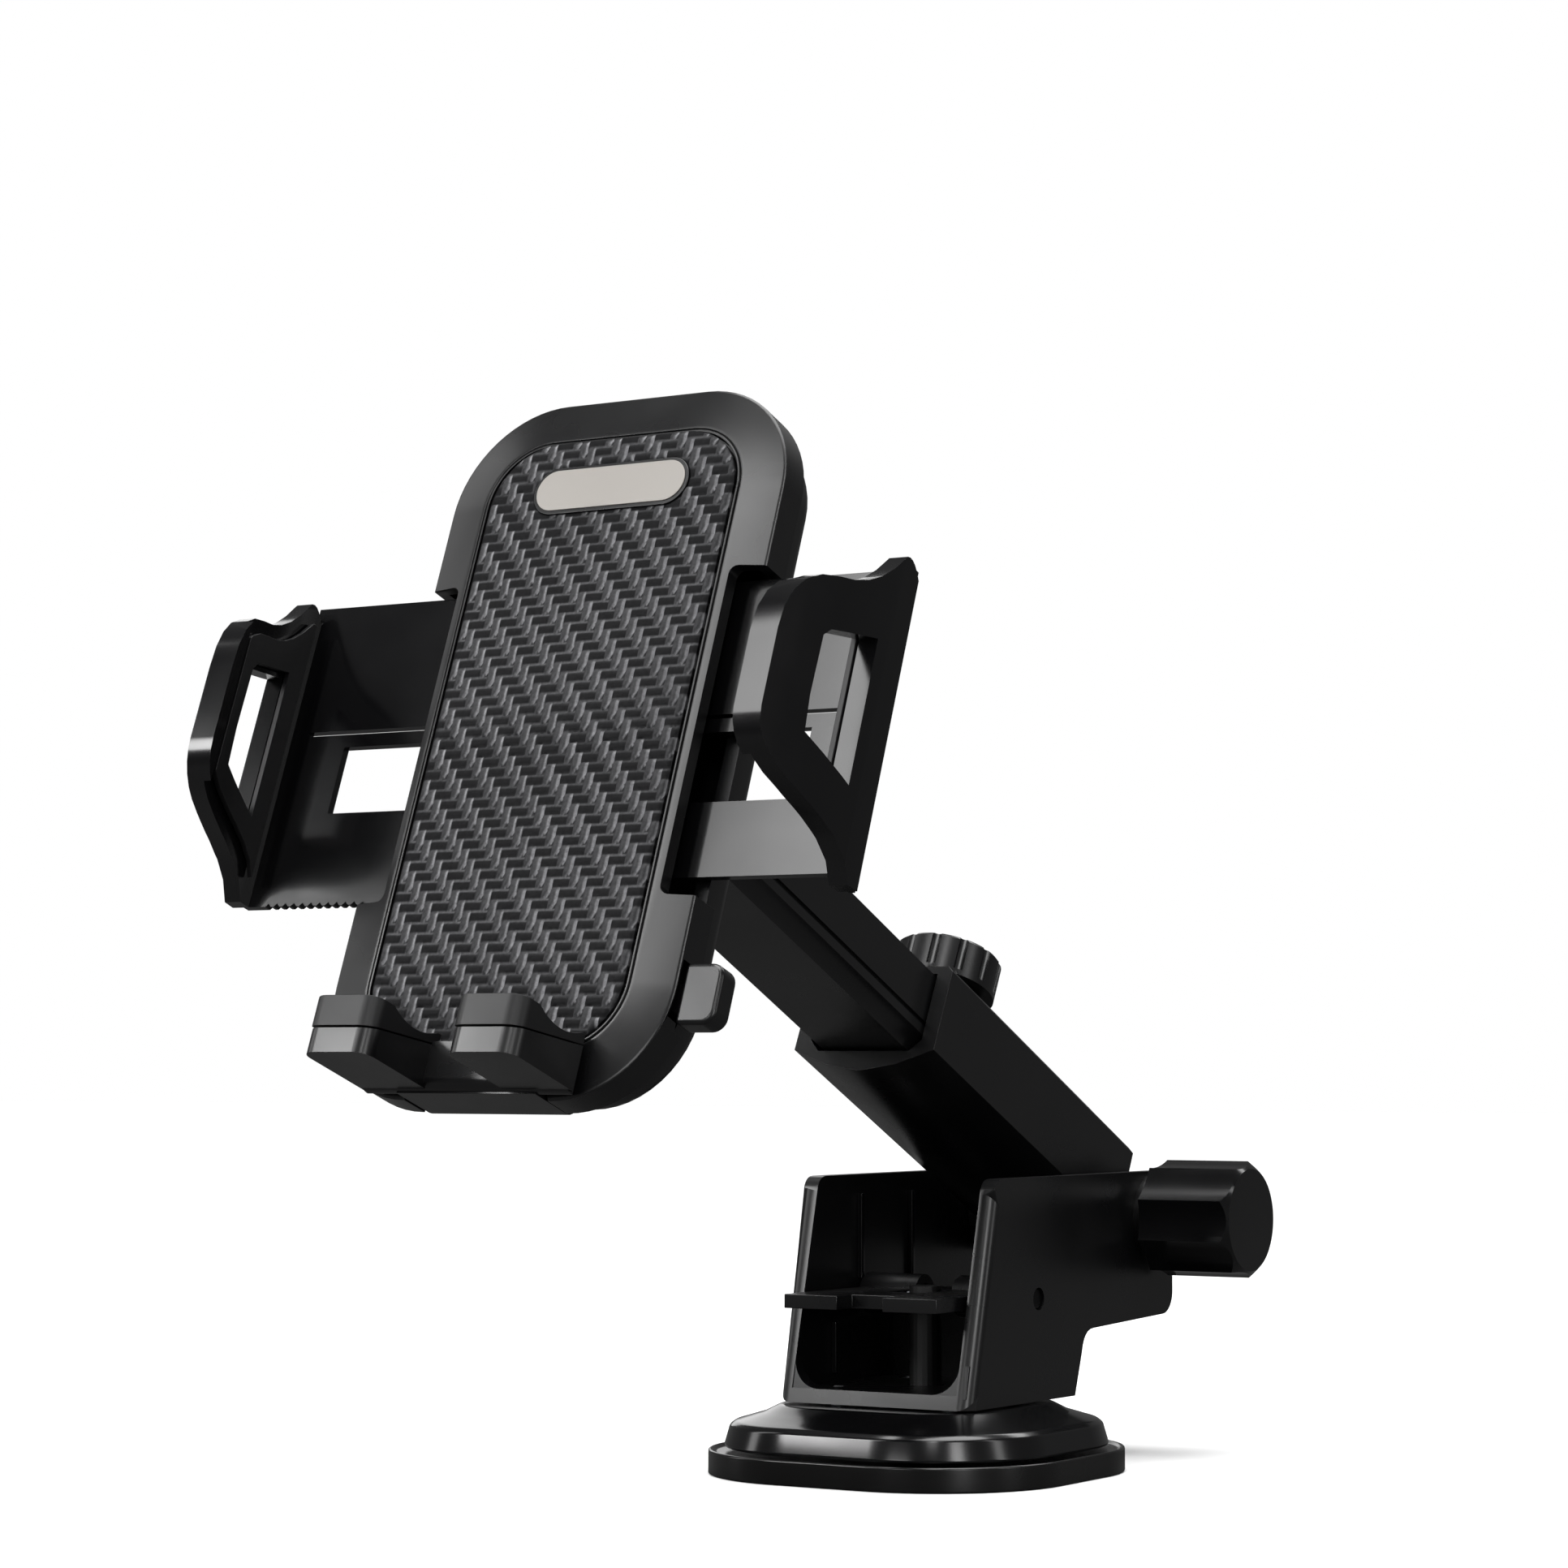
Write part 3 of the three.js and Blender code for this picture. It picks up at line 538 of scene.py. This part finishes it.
def inside_panel(x, y):
    """How far a place lies inside the panel's rounded outline; negative outside."""
    corner_x = abs(x) - (PANEL_WIDTH / 2 - PANEL_CORNER)
    corner_y = abs(y) - (PANEL_HEIGHT / 2 - PANEL_CORNER)
    if corner_x > 0 and corner_y > 0:
        return PANEL_CORNER - math.hypot(corner_x, corner_y)
    return min(PANEL_WIDTH / 2 - abs(x), PANEL_HEIGHT / 2 - abs(y))


def pulled_in(x, y):
    """A place outside the rounded outline, moved to the outline."""
    centre_x = math.copysign(PANEL_WIDTH / 2 - PANEL_CORNER, x)
    centre_y = math.copysign(PANEL_HEIGHT / 2 - PANEL_CORNER, y)
    reach = math.hypot(x - centre_x, y - centre_y)
    return (
        centre_x + (x - centre_x) * PANEL_CORNER / reach,
        centre_y + (y - centre_y) * PANEL_CORNER / reach,
    )


def beside_badge(x, y):
    """How far a place lies outside the badge's outline; negative under the badge."""
    straight = (BADGE_WIDTH - BADGE_HEIGHT) / 2
    return math.hypot(max(0, abs(x) - straight), y - BADGE_RISE) - BADGE_HEIGHT / 2


def twill_panel():
    """The embossed sheet: a fine grid trimmed to its outline, raised thread by thread."""
    bpy.ops.object.select_all(action="DESELECT")
    bpy.ops.mesh.primitive_grid_add(
        x_subdivisions=PANEL_COLUMNS, y_subdivisions=PANEL_ROWS, size=1, location=(0, 0, 0),
    )
    panel = bpy.context.active_object
    panel.name = "twill_panel"
    panel.scale = (PANEL_WIDTH, PANEL_HEIGHT, 1)
    settle(panel)
    cell = PANEL_HEIGHT / PANEL_ROWS
    pick_faces(panel, lambda centre, normal: inside_panel(centre.x, centre.y) < -cell * 0.7)
    bpy.ops.mesh.delete(type="FACE")
    leave_edit()
    painted_lights = []
    for vertex in panel.data.vertices:
        x, y = vertex.co.x, vertex.co.y
        depth = inside_panel(x, y)
        if depth < 0:
            x, y = pulled_in(x, y)
        crown, painted_light = twill(x, y)
        fade = min(1, max(0, depth) / EDGE_FADE, max(0, beside_badge(x, y)) / BADGE_FADE)
        vertex.co = (x, y, PANEL_FRONT + RELIEF * crown * fade)
        # The painted highlight dims with the relief near the panel's edge and round the badge.
        painted_lights.append(painted_light * (0.3 + 0.7 * fade))
    # The thread attribute carries the painted highlight to the film's material.
    layer = panel.data.attributes.new("thread", "FLOAT", "POINT")
    layer.data.foreach_set("value", painted_lights)
    bpy.ops.object.mode_set(mode="EDIT")
    bpy.ops.mesh.select_mode(type="EDGE")
    bpy.ops.mesh.select_all(action="DESELECT")
    bpy.ops.mesh.select_non_manifold(extend=False)
    bpy.ops.mesh.extrude_edges_move()
    bpy.ops.transform.translate(value=(0, 0, PANEL_BACK - PANEL_FRONT))
    bpy.ops.mesh.edge_face_add()
    bpy.ops.mesh.select_all(action="SELECT")
    bpy.ops.mesh.normals_make_consistent(inside=False)
    leave_edit()
    settle(panel, ON_CRADLE)
    only(panel)
    bpy.ops.object.shade_smooth_by_angle(angle=60 * DEGREE)
    dress(panel, "film", "cradle", "embossed_panel", "carbon_panel")


# ------------------------------------------------------------------ base
PAD_SIDE = 65.2
PAD_CORNER = 24
PAD_TOP = 4.2
BELL_SIDE = 60
BELL_CORNER = 22
BELL_BOTTOM = 4.55
# Inset and rise of each step from the bell's flat rim, up its skirt and in over its shoulder.
BELL_STEPS = ((0.9, 3.1), (0.9, 0.7), (1.6, 0.45), (3.4, 1.0), (2.2, 1.1), (0.6, 0.25))
STEM_PLACE = 3
STEM_BORE = 3.15
FLANGE_ROOM = 7
HOUSING_HALF = 19
HOUSING_WALL = 2.8
HOUSING_INNER = HOUSING_HALF - HOUSING_WALL
HOUSING_CORNER = 2.5
MOUTH_SILL = 14.5
MOUTH_CORNER = 5


def suction_pad():
    """The rubber disc, with a lip round its top and a shallow cup below."""
    pad = slab("suction_pad_finish", PAD_SIDE, PAD_SIDE, PAD_CORNER, 0, PAD_TOP, 20)
    pick_faces(pad, lambda centre, normal: normal.z > 0.9)
    step_in(0.7, 0)
    step_in(0.5, -0.5)
    leave_edit()
    pick_faces(pad, lambda centre, normal: normal.z < -0.9)
    step_in(2.2, 0)
    step_in(1.2, -0.6)
    step_in(16, -0.5)
    leave_edit()
    cut(pad, rod("pocket", FLANGE_ROOM, 2, PAD_TOP + 1, 0, STEM_PLACE))
    round_edges(pad, 0.55, 3)
    settle(pad, ON_BASE)
    smooth(pad)
    dress(pad, "suction", "base", "soft_rubber", "suction_pad")


def base_bell():
    """The hard skirt that presses the disc's rim down."""
    rim = BELL_BOTTOM + 0.6
    bell = slab("base_bell_finish", BELL_SIDE, BELL_SIDE, BELL_CORNER, BELL_BOTTOM, rim, 20)
    pick_faces(bell, lambda centre, normal: normal.z > 0.9)
    for inset, rise in BELL_STEPS:
        step_in(inset, rise)
    leave_edit()
    cut(
        bell,
        rod("stem_bore", STEM_BORE, 0, 30, 0, STEM_PLACE),
        rod("flange_room", FLANGE_ROOM, 0, BELL_BOTTOM + 3.6, 0, STEM_PLACE),
    )
    round_edges(bell, 0.3, 2, 20)
    settle(bell, ON_BASE)
    smooth(bell, 40)
    dress(bell, "polished", "base", "satin_abs", "base_bell")


def mouth_corner(side):
    """A rounded filling for a lower corner of the housing's open front."""
    middle = side * (HOUSING_INNER - MOUTH_CORNER)
    top = MOUTH_SILL + MOUTH_CORNER
    near, far = sorted((middle + side * 0.1, side * (HOUSING_HALF - 1)))
    corner = block("mouth_corner", near, far, -13.3, -11.3, MOUTH_SILL - 0.5, top - 0.1)
    pick_edges(corner, lambda a, b: max(a.y, b.y) < -13 and max(a.z, b.z) < 15)
    bpy.ops.transform.translate(value=(0, -1.2, 0))
    leave_edit()
    scoop = rod("scoop", MOUTH_CORNER, -20, 0, 0, 0, 64)
    scoop.data.transform(Matrix.Rotation(math.pi / 2, 4, "X"))
    scoop.data.transform(Matrix.Translation((middle, -20, top)))
    cut(corner, scoop)
    return corner


def base_housing():
    """The housing, with broad rounded corners beside its open front."""
    housing = cad_copy("base_housing")

    def front_corner(first, second):
        outside = min(abs(first.x), abs(second.x)) > HOUSING_HALF - 0.05
        ahead = max(first.y, second.y) < -5
        return outside and ahead and abs(first.z - second.z) > 8

    pick_edges(housing, front_corner)
    bpy.ops.mesh.bevel(offset=HOUSING_CORNER, segments=6, affect="EDGES")
    leave_edit()
    for side in (-1, 1):
        join(housing, mouth_corner(side))
    round_edges(housing, 0.4, 2)
    settle(housing, ON_BASE)
    smooth(housing, 40)
    dress(housing, "satin", "base", "satin_abs", "base_housing")


def housing_rib(side, y, low, high):
    """One moulded stiffening rib on an inside wall, at a place along y."""
    wall = side * HOUSING_INNER
    near, far = sorted((wall, wall - side))
    end = "left" if side < 0 else "right"
    rib = block(f"housing_rib_{end}_{high}_{round(y + 2)}", near, far, y - 0.5, y + 0.5, low, high)
    round_edges(rib, 0.25)
    settle(rib, ON_BASE)
    smooth(rib)
    dress(rib, "polished", "base", "satin_abs")


def housing_ribs():
    """Two tall ribs behind the lever and a short one near the mouth, on each side."""
    for side in (-1, 1):
        housing_rib(side, 7.4, 32, 47)
        housing_rib(side, 24.8, 31, 47)
        housing_rib(side, -1.3, 16, 25)


# ------------------------------------------------------------------ knobs
def fluted_knob(name, radius, low, high, flutes, flute_radius, depth, chamfer, rim=-1):
    """A round knob whose grip is scooped by bars set round it, with a chamfered end."""
    knob = rod(name, radius, low, high, sides=120)
    pick_faces(knob, lambda centre, normal: normal.z > 0.9)
    bpy.ops.mesh.bevel(offset=chamfer, segments=1, affect="EDGES")
    leave_edit()
    place = radius + flute_radius - depth
    for i in range(flutes):
        angle = 2 * math.pi * (i + 0.5) / flutes
        x, y = place * math.cos(angle), place * math.sin(angle)
        cut(knob, rod("scoop", flute_radius, low + rim, high + 1, x, y, 96))
    return knob


HINGE_KNOB_RADIUS = 10.6
HINGE_KNOB_START = 20.95
HINGE_KNOB_LENGTH = 17.6
LOCK_KNOB_RADIUS = 9.4
LOCK_KNOB_START = 17.25
LOCK_KNOB_LENGTH = 7
LOCK_KNOB_PLACE = 57  # from the hinge, along the arm
INSERT_ROOM = 5.55  # bore radii inside the knobs
BOLT_ROOM = 3.35
SCREW_ROOM = 2.35


def hinge_knob():
    """The large knob, with nine wide scallops and a chamfered end."""
    start = HINGE_KNOB_START
    end = start + HINGE_KNOB_LENGTH
    knob = fluted_knob("hinge_knob_finish", HINGE_KNOB_RADIUS, start, end, 9, 14, 1.15, 1.5)
    cut(knob, rod("insert_room", INSERT_ROOM, start - 1, start + 8.35))
    cut(knob, rod("bolt_room", BOLT_ROOM, start + 8, end - 2.9))
    round_edges(knob, 0.3, 2, 24)
    settle(knob, ON_HINGE)
    smooth(knob)
    dress(knob, "polished", "hinge_knob", "satin_abs", "hinge_knob")


def lock_knob():
    """The small knob, with twelve narrow grooves above a plain rim."""
    start = LOCK_KNOB_START
    end = start + LOCK_KNOB_LENGTH
    knob = fluted_knob("lock_knob_finish", LOCK_KNOB_RADIUS, start, end, 12, 0.8, 0.85, 0.5, 1.0)
    cut(knob, rod("screw_room", SCREW_ROOM, start - 1, start + 5.4))
    round_edges(knob, 0.22, 2, 24)
    knob.data.transform(Matrix.Translation((0, -LOCK_KNOB_PLACE, 0)))
    settle(knob, ON_ARM)
    smooth(knob)
    dress(knob, "satin", "lock_knob", "satin_abs", "lock_knob")


# ------------------------------------------------------------------ arm
TUBE_BOTTOM = -3.2


def arm_tube():
    """The inner arm, with the long moulded grooves down its sides."""
    tube = cad_copy("arm_tube")
    tube.data.transform(ON_LENGTH.inverted() @ ON_BASE)
    for side in (-1, 1):
        near, far = sorted((side * 10.0, side * 11.5))
        groove = block("groove", near, far, TUBE_BOTTOM + 4.4, TUBE_BOTTOM + 5.2, 40, 150)
        hollow = rod("hollow", 4.9, 40, 150, side * 12.9, TUBE_BOTTOM - 1.5, 96)
        cut(tube, groove, hollow)
    round_edges(tube, 0.3)
    settle(tube, ON_LENGTH)
    smooth(tube)
    dress(tube, "satin", "tube", "satin_abs", "arm_tube")


# ------------------------------------------------------------------ cradle
CRADLE_WIDTH = 62.4
CRADLE_HEIGHT = 116.6
CRADLE_CORNER = 18
FRAME_BACK = -5.6
NOTCH_INNER = 25.4
NOTCH_HALF = 26.7
NOTCH_CORNER = 1.4
BUTTON_SIDE = 38.15
BUTTON_ROOT = 31.55
BUTTON_LOW = -46.2
BUTTON_HIGH = -36.8
BUTTON_BACK = -5.2
BUTTON_FRONT = -1
STEM_LOW = -43.6
STEM_HIGH = -39.6
STEM_BACK = -4.6
STEM_FRONT = -2.25
SLIDE_GAP = 0.35
STEM_GAP = 0.4
# Inset and rise of each step across the border: edge, slope, rim, groove, bezel line, recess.
BORDER_STEPS = (
    (0.45, 0.3),
    (6.2, 1.05),
    (0.5, 0),
    (0.18, -0.35),
    (0.18, 0.45),
    (0.3, 0),
    (0.12, -1.15),
)


def front_frame():
    """The cradle's front shell: sloped border, panel recess and openings for what slides."""
    front = slab(
        "front_frame_finish", CRADLE_WIDTH, CRADLE_HEIGHT, CRADLE_CORNER, FRAME_BACK, -0.35, 16,
    )
    pick_faces(front, lambda centre, normal: normal.z > 0.9)
    for inset, rise in BORDER_STEPS:
        step_in(inset, rise)
    leave_edit()
    pick_faces(front, lambda centre, normal: normal.z < -0.9)
    step_in(2, 0)
    step_in(0.1, -4.1)
    leave_edit()
    notches = [
        block("notch", *sorted((side * NOTCH_INNER, side * 60)), -NOTCH_HALF, NOTCH_HALF, -20, 20)
        for side in (-1, 1)
    ]
    for notch in notches:
        pick_edges(notch, lambda a, b: abs(a.z - b.z) > 1)
        bpy.ops.mesh.bevel(offset=NOTCH_CORNER, segments=4, affect="EDGES")
        leave_edit()
    # Openings for the tongue of the feet, and for the button and its stem.
    foot_gap = block("foot_gap", -13, 13, -80, -CRADLE_HEIGHT / 2 + 2.2, -20, 20)
    button_gap = block(
        "button_gap", 28.65, 41, BUTTON_LOW - SLIDE_GAP, BUTTON_HIGH + SLIDE_GAP,
        -20, BUTTON_FRONT + SLIDE_GAP,
    )
    stem_gap = block(
        "stem_gap", 20, 41, STEM_LOW - STEM_GAP, STEM_HIGH + STEM_GAP,
        STEM_BACK - STEM_GAP, STEM_FRONT + SLIDE_GAP,
    )
    cut(front, *notches, foot_gap, button_gap, stem_gap)
    round_edges(front, 0.3, 3)
    settle(front, ON_CRADLE)
    smooth(front)
    dress(front, "satin", "cradle", "satin_abs", "front_frame")


FOOT_HALF = 6
FOOT_SPACING = 13
FOOT_FRONT = 18.1
FOOT_LOW = -57.7
SEAM = -53.8  # where the cap meets the foot at the front
BACK_LIFT = 3.1  # the seam climbs this much towards the back
CAP_TOP = -48.95
APRON_HALF = 18.6
APRON_LOW = -58
NECK_HALF = 12.6
NECK_LOW = -58.2
TONGUE_BACK = -8
TONGUE_FRONT = -6.4


def foot_block(name, side, low, high, front, lift_low, lift_high):
    """A foot's block with rounded front corners; its back edges lift by the given amounts."""
    x = side * FOOT_SPACING
    foot = block(name, x - FOOT_HALF, x + FOOT_HALF, low, high, 2.1, front)
    for level, lift in ((low, lift_low), (high, lift_high)):
        pick_edges(foot, lambda a, b: max(a.z, b.z) < 3 and abs(a.y - level) + abs(b.y - level) < 0.1)
        bpy.ops.transform.translate(value=(0, lift, 0))
        leave_edit()
    pick_edges(foot, lambda a, b: min(a.z, b.z) > front - 0.1 and abs(a.y - b.y) > 1)
    bpy.ops.mesh.bevel(offset=2.6, segments=7, affect="EDGES")
    leave_edit()
    return foot


def foot_bracket():
    """Both feet on their apron, with the neck and the tongue that slides in the cradle."""
    bracket = block("foot_bracket_finish", -APRON_HALF, APRON_HALF, APRON_LOW, -50.6, 1.55, 3.8)

    def low_front(a, b):
        return abs(a.x - b.x) > 1 and min(a.z, b.z) > 3 and max(a.y, b.y) < APRON_LOW + 1

    pick_edges(bracket, low_front)
    bpy.ops.mesh.bevel(offset=1.8, segments=4, affect="EDGES")
    leave_edit()
    for side in (-1, 1):
        join(bracket, foot_block("foot", side, FOOT_LOW, SEAM - 0.1, FOOT_FRONT, 0, BACK_LIFT))
    neck = block("neck", -NECK_HALF, NECK_HALF, NECK_LOW, NECK_LOW + 2, TONGUE_BACK, 2.4)

    def low_back(a, b):
        behind = max(a.z, b.z) < TONGUE_BACK + 1
        return abs(a.x - b.x) > 1 and max(a.y, b.y) < NECK_LOW + 0.2 and behind

    pick_edges(neck, low_back)
    bpy.ops.mesh.bevel(offset=1.9, segments=4, affect="EDGES")
    leave_edit()
    tongue = block("tongue", -NECK_HALF, NECK_HALF, -56.8, -33, TONGUE_BACK, TONGUE_FRONT)
    join(bracket, neck, tongue)
    round_edges(bracket, 0.4, 2)
    settle(bracket, ON_CRADLE)
    smooth(bracket, 40)
    dress(bracket, "satin", "foot", "satin_abs", "foot_bracket")


def foot_cap(side, name):
    """The soft cap: a lip along the front, and a saddle behind it for the phone's edge."""
    front = FOOT_FRONT + 0.3
    cap = foot_block(name + "_finish", side, SEAM + 0.1, CAP_TOP, front, BACK_LIFT, 0)
    scoop = rod("saddle", 11.5, -20, 20, 0, 0, 128)
    scoop.data.transform(Matrix.Rotation(math.pi / 2, 4, "Y"))
    scoop.data.transform(Matrix.Translation((side * FOOT_SPACING, CAP_TOP + 10.1, 8.4)))
    cut(cap, scoop)
    round_edges(cap, 0.4, 3)
    settle(cap, ON_CRADLE)
    smooth(cap, 40)
    dress(cap, "silicone", "foot", SLOT_OF[name], name)


def release_button():
    """The side button, rounded where a thumb presses it, on its flat stem."""
    button = block(
        "release_button_finish", BUTTON_ROOT, BUTTON_SIDE, BUTTON_LOW, BUTTON_HIGH,
        BUTTON_BACK, BUTTON_FRONT,
    )
    pick_edges(button, lambda a, b: abs(a.z - b.z) > 1 and min(a.x, b.x) > BUTTON_SIDE - 0.15)
    bpy.ops.mesh.bevel(offset=2.2, segments=7, affect="EDGES")
    leave_edit()
    round_edges(button, 0.75, 4)
    stem = block("stem", 18, BUTTON_ROOT + 0.65, STEM_LOW, STEM_HIGH, STEM_BACK, STEM_FRONT)
    join(button, stem)
    settle(button, ON_CRADLE)
    smooth(button, 40)
    dress(button, "satin", BODY_OF["release_button"], "satin_abs", "release_button")


def badge_plate(name, margin, low, high):
    """A pill-shaped plate, smaller all round than the badge by the margin."""
    width = BADGE_WIDTH - 2 * margin
    height = BADGE_HEIGHT - 2 * margin
    plate = slab(name, width, height, height / 2 - 0.02, low, high, 16)
    round_edges(plate, 0.12, 3)
    plate.data.transform(Matrix.Translation((0, BADGE_RISE, 0)))
    settle(plate, ON_CRADLE)
    smooth(plate)
    return plate


def badge():
    """The enamelled pill in its dark raised rim."""
    dress(badge_plate("badge_rim", 0, PANEL_FRONT + 0.02, 1.5), "satin", "cradle", "satin_abs")
    dress(badge_plate("badge_finish", 0.6, 1.5, 1.69), "enamel", "cradle", "badge_paint", "badge")


# ------------------------------------------------------------------ stage, light and camera
def floor():
    """Pale to the eye, but dark in the plastic's reflections, like a black card below."""
    bpy.ops.object.select_all(action="DESELECT")
    bpy.ops.mesh.primitive_plane_add(size=8, location=(0, 0, 0))
    plane = bpy.context.active_object
    plane.name = "floor"
    material, tree, output, place = blank("pale_floor")
    path = add(tree, "ShaderNodeLightPath")
    shade = add(tree, "ShaderNodeMix", {"data_type": "RGBA"}, {
        "Factor": path.outputs["Is Camera Ray"],
        "A": linear("#4A4A4A"),
        "B": linear("#F4F4F4"),
    })
    shader = add(tree, "ShaderNodeBsdfDiffuse", {}, {"Color": shade.outputs["Result"]})
    tree.links.new(shader.outputs["BSDF"], output.inputs["Surface"])
    plane.data.materials.append(material)


def softbox(name, target, direction, distance, width, height, power):
    """A rectangular light that faces the target from a direction, in metres and watts."""
    data = bpy.data.lights.new(name, "AREA")
    data.shape = "RECTANGLE"
    data.size = width
    data.size_y = height
    data.energy = power
    light = bpy.data.objects.new(name, data)
    bpy.context.scene.collection.objects.link(light)
    away = Vector(direction).normalized()
    light.location = target + away * distance
    light.rotation_euler = away.to_track_quat("Z", "Y").to_euler()
    return light


def lights():
    """Strips for the rounded edges, a near key for the right clamp, and an overhead light."""
    target = Vector((0, -0.06, 0.1))
    clamp = CRADLE + Vector((36 * MM, 0, 0))
    front_corner = Vector((18, -13, 30)) * MM
    softbox("key", clamp, (-0.4, -0.63, 0.66), 0.38, 0.13, 0.22, 0.6)
    softbox("base_front", front_corner, (-0.56, -0.71, 0.42), 0.6, 0.12, 0.14, 0.9)
    softbox("high_front", target, (0.4, -0.66, 0.64), 0.9, 0.12, 0.5, 1.5)
    softbox("left_strip", target, (-1, -0.25, 0.35), 0.8, 0.14, 0.8, 1.0)
    softbox("right_strip", target, (1, 0.1, 0.3), 0.8, 0.1, 0.8, 1.0)
    softbox("low_front", target, (0.79, -0.56, 0.12), 0.9, 0.17, 0.6, 2.6)
    softbox("high_back", target, (0.1, 0.9, 0.75), 0.9, 0.6, 0.16, 1.6)
    softbox("back_fill", target, (-0.7, 0.8, 0.3), 0.9, 0.3, 0.5, 0.7)
    softbox("front_fill", target, (-0.02, -1, 0.16), 0.95, 0.34, 0.3, 1.3)
    data = bpy.data.lights.new("overhead", "SUN")
    data.energy = 3.7
    data.angle = 50 * DEGREE
    overhead = bpy.data.objects.new("overhead", data)
    bpy.context.scene.collection.objects.link(overhead)


def sky():
    """White behind the object, and a faint glow on it from all round."""
    world = bpy.data.worlds.new("studio")
    bpy.context.scene.world = world
    world.use_nodes = True
    tree = world.node_tree
    tree.nodes.clear()
    path = add(tree, "ShaderNodeLightPath")
    seen = add(tree, "ShaderNodeBackground", {}, {"Color": linear("#FFFFFF"), "Strength": 1.0})
    room = add(tree, "ShaderNodeBackground", {}, {"Color": linear("#FFFFFF"), "Strength": 0.12})
    mix = add(tree, "ShaderNodeMixShader", {}, {
        0: path.outputs["Is Camera Ray"],
        1: room.outputs["Background"],
        2: seen.outputs["Background"],
    })
    output = add(tree, "ShaderNodeOutputWorld")
    tree.links.new(mix.outputs["Shader"], output.inputs["Surface"])


EYE = (0.344, -0.5823, 0.071)
LOOK = (-0.536, 0.841, 0.0698)
LENS = 89.44


def camera():
    """A long lens, low at the front right of the object."""
    data = bpy.data.cameras.new("camera")
    data.sensor_width = 36
    data.lens = LENS
    data.clip_start = 0.01
    data.clip_end = 50
    eye = bpy.data.objects.new("camera", data)
    bpy.context.scene.collection.objects.link(eye)
    forward = Vector(LOOK).normalized()
    right = forward.cross(Vector((0, 0, 1))).normalized()
    up = right.cross(forward)
    turn = Matrix((right, up, -forward)).transposed().to_4x4()
    eye.matrix_world = Matrix.Translation(Vector(EYE)) @ turn
    bpy.context.scene.camera = eye


paint_hidden_nodes()
finish_cad_shapes()
suction_pad()
base_bell()
base_housing()
housing_ribs()
hinge_knob()
lock_knob()
front_frame()
twill_panel()
badge()
arm_tube()
foot_bracket()
foot_cap(-1, "foot_cap_left")
foot_cap(1, "foot_cap_right")
release_button()
floor()
lights()
sky()
camera()
bpy.context.scene.view_settings.view_transform = "Standard"
